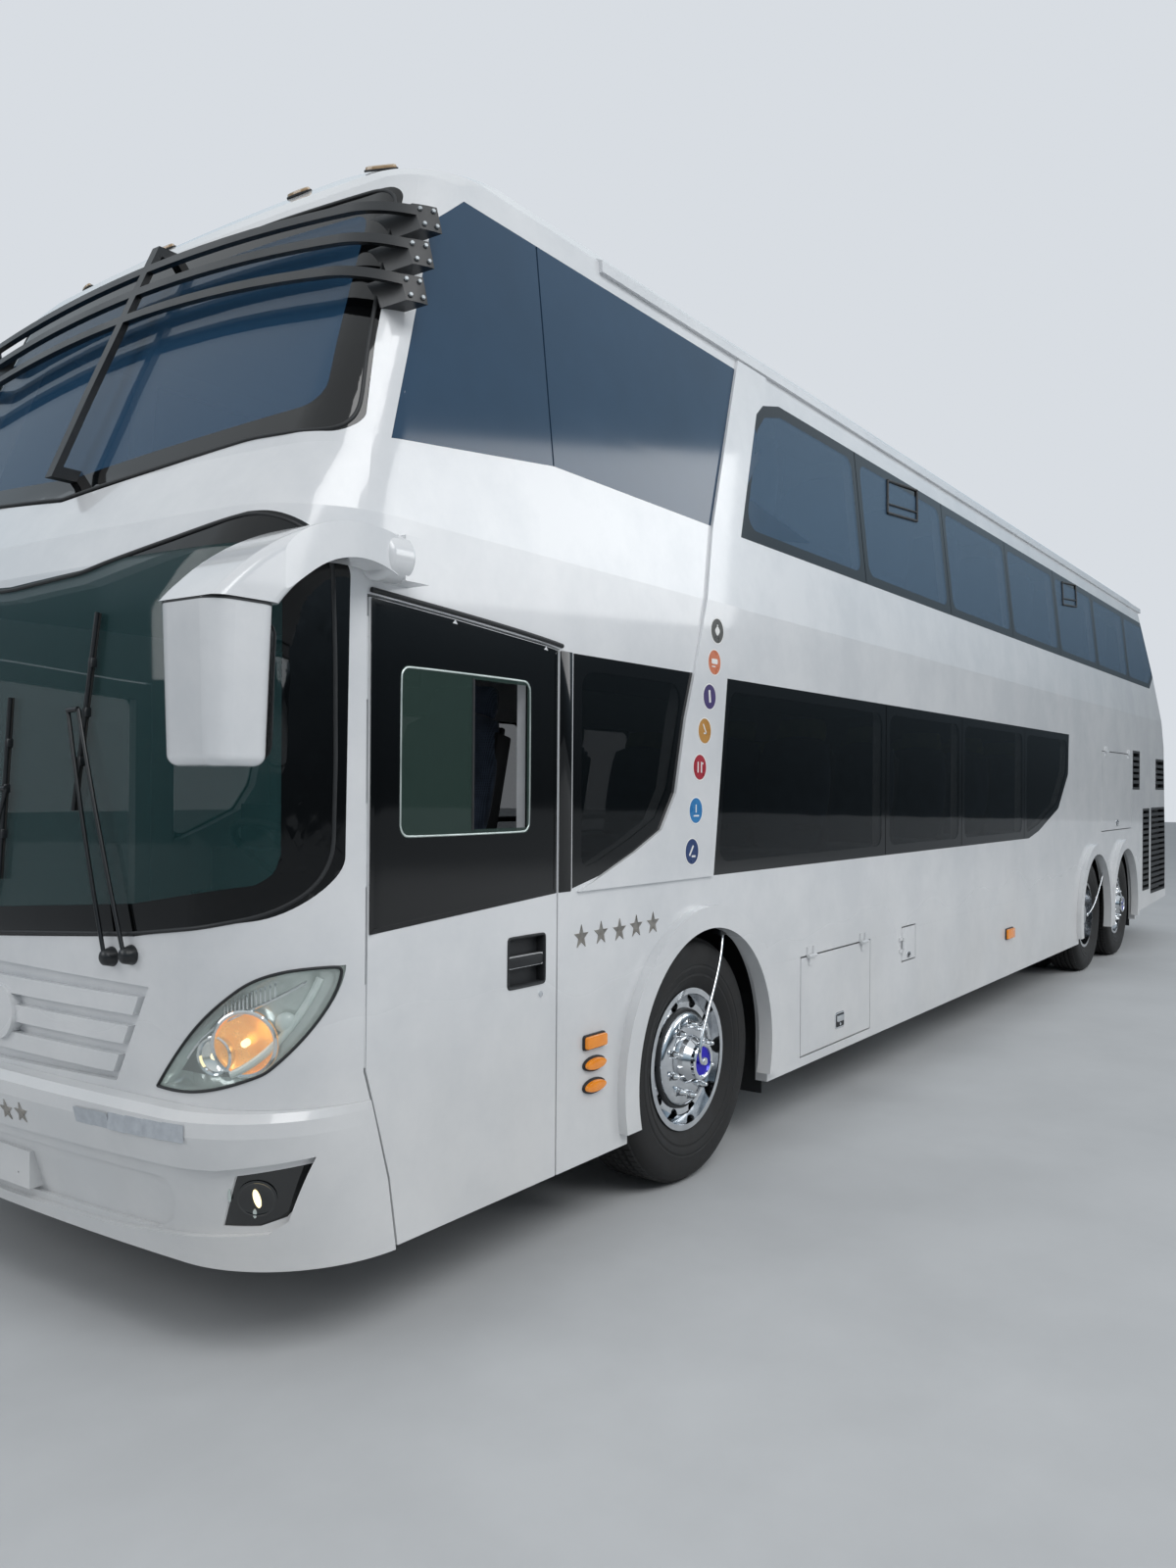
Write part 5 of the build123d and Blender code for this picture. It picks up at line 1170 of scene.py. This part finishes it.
# Amber lamps: a reflector over two oval lamps behind each front door edge, side markers, roof lamps
amberSet = {
    "side": [  # outline, x, z, width, height
        ("flat", 820, 744, 138, 56), ("flat", -4505, 617, 186, 82),
        ("oval", 820, 662, 138, 56), ("oval", 820, 581, 138, 56),
    ],
    "roof": [(1500, 870), (1500, -870), (1450, 400), (1450, -400)],
    "roofLens": (52, 122, 18),  # width, length, height
}
ambers = bmesh.new()
for hand, side in hands:
    for kind, x, z, width, height in amberSet["side"]:
        seat = onSide(["lower_side_" + side], x, z, hand)
        if kind == "flat":
            foot, lens, ease = softRectangle(width, height, 12), softRectangle(width - 12, height - 12, 9), 3
        else:
            foot, lens, ease = oval(width, height, 36), oval(width - 14, height - 14, 36), 7
        plate(ambers, foot, 9, seat, 1, 2)
        plate(ambers, lens, 22, seat, 0, ease)
for x, y in amberSet["roof"]:
    seat = onSkin(["roof"], spot(x, y, farOff["roof"]), (0, 0, -1))
    wide, long, high = amberSet["roofLens"]
    if abs(seat.to_3x3().col[0].y) > math.sqrt(0.5):
        wide, long = long, wide
    plate(ambers, oval(wide, long, 32), 7, seat, 1, 2)
    plate(ambers, oval(wide - 8, long - 8, 32), high, seat, 2, 10)
amberPiece = newPiece(
    "amberLamps", ambers, "coach", ["amberLens", "mouldedAbs", "roofLens"], 35,
)
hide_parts("marker_lamps")

# Tyre air pipes from a bracket under each arch to the hubs
airPipes = {
    "radius": 7,
    "clamp": (54, 20, 26),
    "bracket": (8, 46, 60),
    "bracketShift": 20,  # inward and up from the clamp
    "elbow": [(0, 10), (15, 9), (18, 4), (18, -8), (0, -8)],
    "routes": {
        "Front": [
            (-205, 1270, 1040), (-180, 1288, 960), (-60, 1296, 760), (70, 1304, 560), (34, 1306, 500),
            (0, 1300, 516),
        ],
        "Drive": [
            (-7815, 1262, 1030), (-7790, 1286, 960), (-7560, 1292, 780), (-7320, 1282, 560),
            (-7262, 1240, 516),
        ],
        "Tag": [
            (-8015, 1262, 1030), (-8040, 1286, 960), (-8260, 1300, 780), (-8500, 1308, 560),
            (-8568, 1302, 516),
        ],
    },
}
for name, route in airPipes["routes"].items():
    for hand, side in hands:
        tube = bmesh.new()
        line = [spot(x, hand * y, z) for x, y, z in route]
        clamp = Matrix.Translation(line[0])
        shift = airPipes["bracketShift"]
        pipe(tube, line, airPipes["radius"])
        bar(tube, airPipes["clamp"], clamp, 1, 4)
        bar(tube, airPipes["bracket"], moved(clamp, 0, -hand * shift, shift), 1, 2)
        turned(tube, airPipes["elbow"], facingFrame(line[-1], (0, hand, 0)), 0, 20)
        # the front pipes pass on their knuckle and first two points, and their place is baked into the mesh
        # instead of riding on the coach
        turns = ("knuckle_" + side, line[0], line[1]) if name == "Front" else None
        pipeName = "airPipe" + name + side.capitalize()
        newPiece(pipeName, tube, "coach", ["chrome", "powderCoat"], 40, turns)
print("amber lamps and air pipes made")

# Louvre bolts, latches, hopper window frames, reflective strip
fittings = {
    "bracketPlates": [(1672, 3431), (1722, 3301), (1767, 3171)],  # x, z of each louvre bracket
    "boltGrid": [(-18, 26), (18, 26), (-18, -26), (18, -26)],
    "bolt": [(0, 8), (6, 8), (8, 5), (8, 0), (0, 0)],
    "latches": [  # piece, node, x, z, width, height, hand
        ("luggageLatchLeft", "luggage_flap_left", -1420, 468, 116, 84, 1),
        ("luggageLatchRight", "luggage_flap_right", -1420, 468, 116, 84, -1),
        ("engineLatch", "engine_door_left", -8257, 1345, 100, 64, 1),
        ("fuelLatch", "fuel_flap", -2430, 694, 50, 34, 1),
    ],
    "hopper": [(-2321, 3488), (-2826, 3534), (-2772, 3330), (-2267, 3284)],
    "hopperShifts": (0, -4130),
    "hopperRail": 0.72,  # share of the height down from the top
    "tape": {"start": 526, "length": 78, "count": 6, "low": 697, "rise": 0.03, "wide": 50},
}
boltMesh = bmesh.new()
for hand, _ in hands:
    for x, z in fittings["bracketPlates"]:
        for across, up in fittings["boltGrid"]:
            turned(boltMesh, fittings["bolt"], onSide(["louvre_rack"], x + across, z + up, hand), 0, 6)
newPiece("louvreBolts", boltMesh, "coach", ["zincSheet"], 20)


def addLatch(shape, seat, width, height):  # flush paddle latch in a shallow dish
    plate(shape, softRectangle(width, height, 14), 3, seat, 0, 1.5)
    plate(shape, softRectangle(width - 16, height - 16, 10), 4, seat, 1, 1)
    plate(shape, softRectangle(width - 30, height * 0.4, 8), 5, moved(seat, 0, height * 0.12, 4), 0, 2)
    turned(shape, [(0, 5), (6, 5), (8, 3), (8, 0), (0, 0)], moved(seat, 0, height * -0.25, 3), 0, 16)


for name, node, x, z, width, height, hand in fittings["latches"]:
    latch = bmesh.new()
    addLatch(latch, onSide([node], x, z, hand), width, height)
    newPiece(name, latch, node, ["chrome", "mouldedAbs"], 35)

# Door handle: a deep dish with a raised rim, a grip across it and a lock below
doorHandle = {
    "dish": (1120, 1314, 1000, 1163),  # x from and to, z from and to
    "floorY": 1267,
    "deep": 33,
    "wall": 3,
    "rim": {"reach": 3, "corner": 12, "radius": 4.5},
    "grip": {"at": (1217, 1081.5), "size": (186, 36)},
    "lock": {"at": (1140, 960), "profile": [(0, 6), (9, 5), (10, 0), (0, 0)]},
}
handle = bmesh.new()
x0, x1, z0, z1 = doorHandle["dish"]
wide, high, deep = x1 - x0, z1 - z0, doorHandle["deep"]
dish = facingFrame(spot((x0 + x1) / 2, doorHandle["floorY"], (z0 + z1) / 2), (0, 1, 0))
plate(handle, softRectangle(wide - 1, high - 1, 6), 2, dish, 0)
for across, up, length, height in (
    (wide / 2 - 2, 0, doorHandle["wall"], high - 1), (2 - wide / 2, 0, doorHandle["wall"], high - 1),
    (0, high / 2 - 2, wide - 1, doorHandle["wall"]), (0, 2 - high / 2, wide - 1, doorHandle["wall"]),
):
    bar(handle, (length, height, deep - 1), moved(dish, across, up, deep / 2), 0, 0.8)
rim = doorHandle["rim"]
rimShape = softRectangle(wide + 2 * rim["reach"], high + 2 * rim["reach"], rim["corner"], 3)
pipe(handle, closed([moved(dish, x, y, deep + 0.5).translation for x, y in rimShape]), rim["radius"])
grip = doorHandle["grip"]
plate(handle, softRectangle(*grip["size"], 12), 3, onSide(["driver_door"], *grip["at"]), 0, 1.5)
x, z = doorHandle["lock"]["at"]
lockFrame = facingFrame(spot(x, doorDress["skinY"], z), (0, 1, 0))
turned(handle, doorHandle["lock"]["profile"], lockFrame, 1, 20)
newPiece("doorHandle", handle, "driver_door", ["mouldedAbs", "chrome"], 35)

hoppers = bmesh.new()
for hand, side in hands:
    for shift in fittings["hopperShifts"]:
        places = [onSide(["side_glass_" + side], x + shift, z, hand) for x, z in fittings["hopper"]]
        corners = [pointOff(place, 4) for place in places]
        for a, b in zip(corners, corners[1:] + corners[:1]):
            rod(hoppers, a, b, 8)
        rail = fittings["hopperRail"]
        rod(hoppers, corners[0].lerp(corners[3], rail), corners[1].lerp(corners[2], rail), 6)
newPiece("hopperFrames", hoppers, "coach", ["mouldedAbs"], 40)
bumperMarks = bmesh.new()
tape = fittings["tape"]
for i in range(tape["count"]):
    along = tape["length"] * i
    place = (tape["start"] + along + tape["length"] / 2, tape["low"] + along * tape["rise"])
    patch = softRectangle(tape["length"] * 1.02, tape["wide"], 3, 2)
    plate(bumperMarks, patch, 0.6, onFront(["front_bumper"], *place))
newPiece("reflectiveStrip", bumperMarks, "coach", ["reflectiveTape"], 60)

# Rear: slats, latch and blank plate on the lid, round tail lamps in two columns
rearSet = {
    "slats": {"foot": 745, "pitch": 34, "count": 11, "size": (900, 17)},
    "latch": (686, 120, 64),  # z, width, height
    "plate": {"z": 1200, "size": (520, 110), "frame": 10},
    "plateLamps": {"across": 120, "up": 82, "proud": 12, "size": (70, 26, 22)},
    "column": 1042.5,
    "lamps": [(1230, 0), (1330, 1), (1430, 0), (1560, 0), (1690, 2), (1775, 0)],  # z, finish
    "lens": [(0, 16), (20, 14), (31, 8), (35, 1), (0, 1)],
    "bezel": [(35, 1), (36, 9), (39, 10), (41, 8), (41, 1)],
}
lidDress = bmesh.new()
slats = rearSet["slats"]
for row in range(slats["count"]):
    seat = onRear(["rear_lid"], 0, slats["foot"] + slats["pitch"] * row)
    plate(lidDress, softRectangle(*slats["size"], 4, 2), 5, seat, 0, 2)
latchZ, width, height = rearSet["latch"]
addLatch(lidDress, onRear(["rear_lid"], 0, latchZ), width, height)
newPiece("rearLidSlats", lidDress, "rear_lid", ["mouldedAbs", "chrome"], 35)
rearPlate = bmesh.new()
width, height = rearSet["plate"]["size"]
frameWide = 2 * rearSet["plate"]["frame"]
plateSeat = onRear(["rear_lid"], 0, rearSet["plate"]["z"])
plate(rearPlate, softRectangle(width + frameWide, height + frameWide, 10), 4, plateSeat, 1, 1)
plate(rearPlate, softRectangle(width, height, 6), 5, plateSeat, 0, 1)
lamps = rearSet["plateLamps"]
for across in (-lamps["across"], lamps["across"]):
    bar(rearPlate, lamps["size"], moved(plateSeat, across, lamps["up"], lamps["proud"]), 2, 4)
newPiece("rearPlate", rearPlate, "rear_lid", ["clearCoatWhite", "mouldedAbs", "clearLens"], 35)
tails = bmesh.new()
tails.from_mesh(cadNodes["tail_lamps"].data)
for hand, _ in hands:
    for z, coat in rearSet["lamps"]:
        seat = onRear(["tail_lamps"], hand * rearSet["column"], z)
        turned(tails, rearSet["lens"], seat, coat, 28)
        turned(tails, closed(rearSet["bezel"]), seat, 3, 28)
tailFinishes = ["redLens", "amberLens", "clearLens", "chrome"]
tailPiece = newPiece("tailLamps", tails, "coach", tailFinishes, 35)
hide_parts("tail_lamps")
print("fittings placed")

# Camera at the photograph's place, solved from the body's straight edges
view = {
    "place": (8.654, 3.772, 1.674),
    "yaw": 0.615,
    "pitch": 0.002,
    "roll": 0.007,
    "lens": 27.1,
    "sensor": 36.0,
}
level = Vector((-math.cos(view["yaw"]), -math.sin(view["yaw"]), 0))
ahead = level * math.cos(view["pitch"]) + Vector((0, 0, 1)) * math.sin(view["pitch"])
flat = level.cross(Vector((0, 0, 1)))
above = flat.cross(ahead)
right = flat * math.cos(view["roll"]) + above * math.sin(view["roll"])
top = above * math.cos(view["roll"]) - flat * math.sin(view["roll"])
cameraData = bpy.data.cameras.new("camera")
cameraData.sensor_fit = "VERTICAL"
cameraData.sensor_height = view["sensor"]
cameraData.lens = view["lens"]
cameraData.clip_end = 200
camera = bpy.data.objects.new("camera", cameraData)
camera.matrix_world = Matrix.Translation(view["place"]) @ Matrix((right, top, -ahead)).transposed().to_4x4()
scene.collection.objects.link(camera)
scene.camera = camera

# Pale studio floor and soft light
studio = {
    "floorSize": 120.0,
    "floorFinish": ("#C4C7C9", "#CCCFD1", 900, 0.6, 0.75),
    "lights": [  # name, place, target, size, watts
        ("keyLight", (9, 11, 12), (2, 0, 1.5), (10, 7), 1000.0),
        ("fillLight", (-9, 13, 8), (-3, 0, 1.5), (12, 6), 600.0),
        ("frontLight", (15, -5, 6), (6, 0, 2), (6, 5), 260.0),
    ],
    "surround": "#DDE2E8",
    "mirrored": [(0.0, "#3E464C"), (0.1, "#59656E"), (0.3, "#AEC3D3"), (0.7, "#EAF0F4")],  # ground to sky
    "ambient": 0.45,
    "seen": 0.95,
}
floorShape = bmesh.new()
bmesh.ops.create_grid(floorShape, x_segments=1, y_segments=1, size=studio["floorSize"] / 2)
floorMesh = bpy.data.meshes.new("studioFloor")
floorShape.to_mesh(floorMesh)
floorShape.free()
floorMesh.materials.append(makeFinish("studioFloor", *studio["floorFinish"]))
studioFloor = bpy.data.objects.new("studioFloor", floorMesh)
scene.collection.objects.link(studioFloor)

for name, place, target, (length, width), watts in studio["lights"]:
    lightData = bpy.data.lights.new(name, "AREA")
    lightData.shape = "RECTANGLE"
    lightData.size, lightData.size_y = length, width
    lightData.energy = watts
    light = bpy.data.objects.new(name, lightData)
    aim = (Vector(target) - Vector(place)).to_track_quat("-Z", "Y")
    light.matrix_world = Matrix.Translation(place) @ aim.to_matrix().to_4x4()
    scene.collection.objects.link(light)

# The world lights evenly; eyes see a plain surround, and metal and glass a pale sky over dark ground
world = bpy.data.worlds.new("studio")
world.use_nodes = True
scene.world = world
sky = world.node_tree
path = addNode(sky, "ShaderNodeLightPath")
seen = path.outputs["Is Camera Ray"]
for ray in ("Is Transmission Ray", "Is Glossy Ray"):
    either = addNode(sky, "ShaderNodeMath", {"operation": "MAXIMUM"}, {0: seen, 1: path.outputs[ray]})
    seen = either.outputs[0]
strengths = {"To Min": studio["ambient"], "To Max": studio["seen"]}
strength = addNode(sky, "ShaderNodeMapRange", strengths, {"Value": seen})
direction = addNode(sky, "ShaderNodeTexCoord")
rise = addNode(sky, "ShaderNodeSeparateXYZ", links={"Vector": direction.outputs["Generated"]})
band = addNode(sky, "ShaderNodeValToRGB", links={"Fac": rise.outputs["Z"]})
mirrored = setRamp(band, studio["mirrored"])
tone = addNode(sky, "ShaderNodeMix", {"data_type": "RGBA"}, {0: path.outputs["Is Glossy Ray"], 7: mirrored})
tone.inputs[6].default_value = linearColour(studio["surround"])
background = sky.nodes["Background"]
sky.links.new(tone.outputs[2], background.inputs["Color"])
sky.links.new(strength.outputs["Result"], background.inputs["Strength"])

scene.view_settings.view_transform = "Standard"
print("camera, floor and light set")
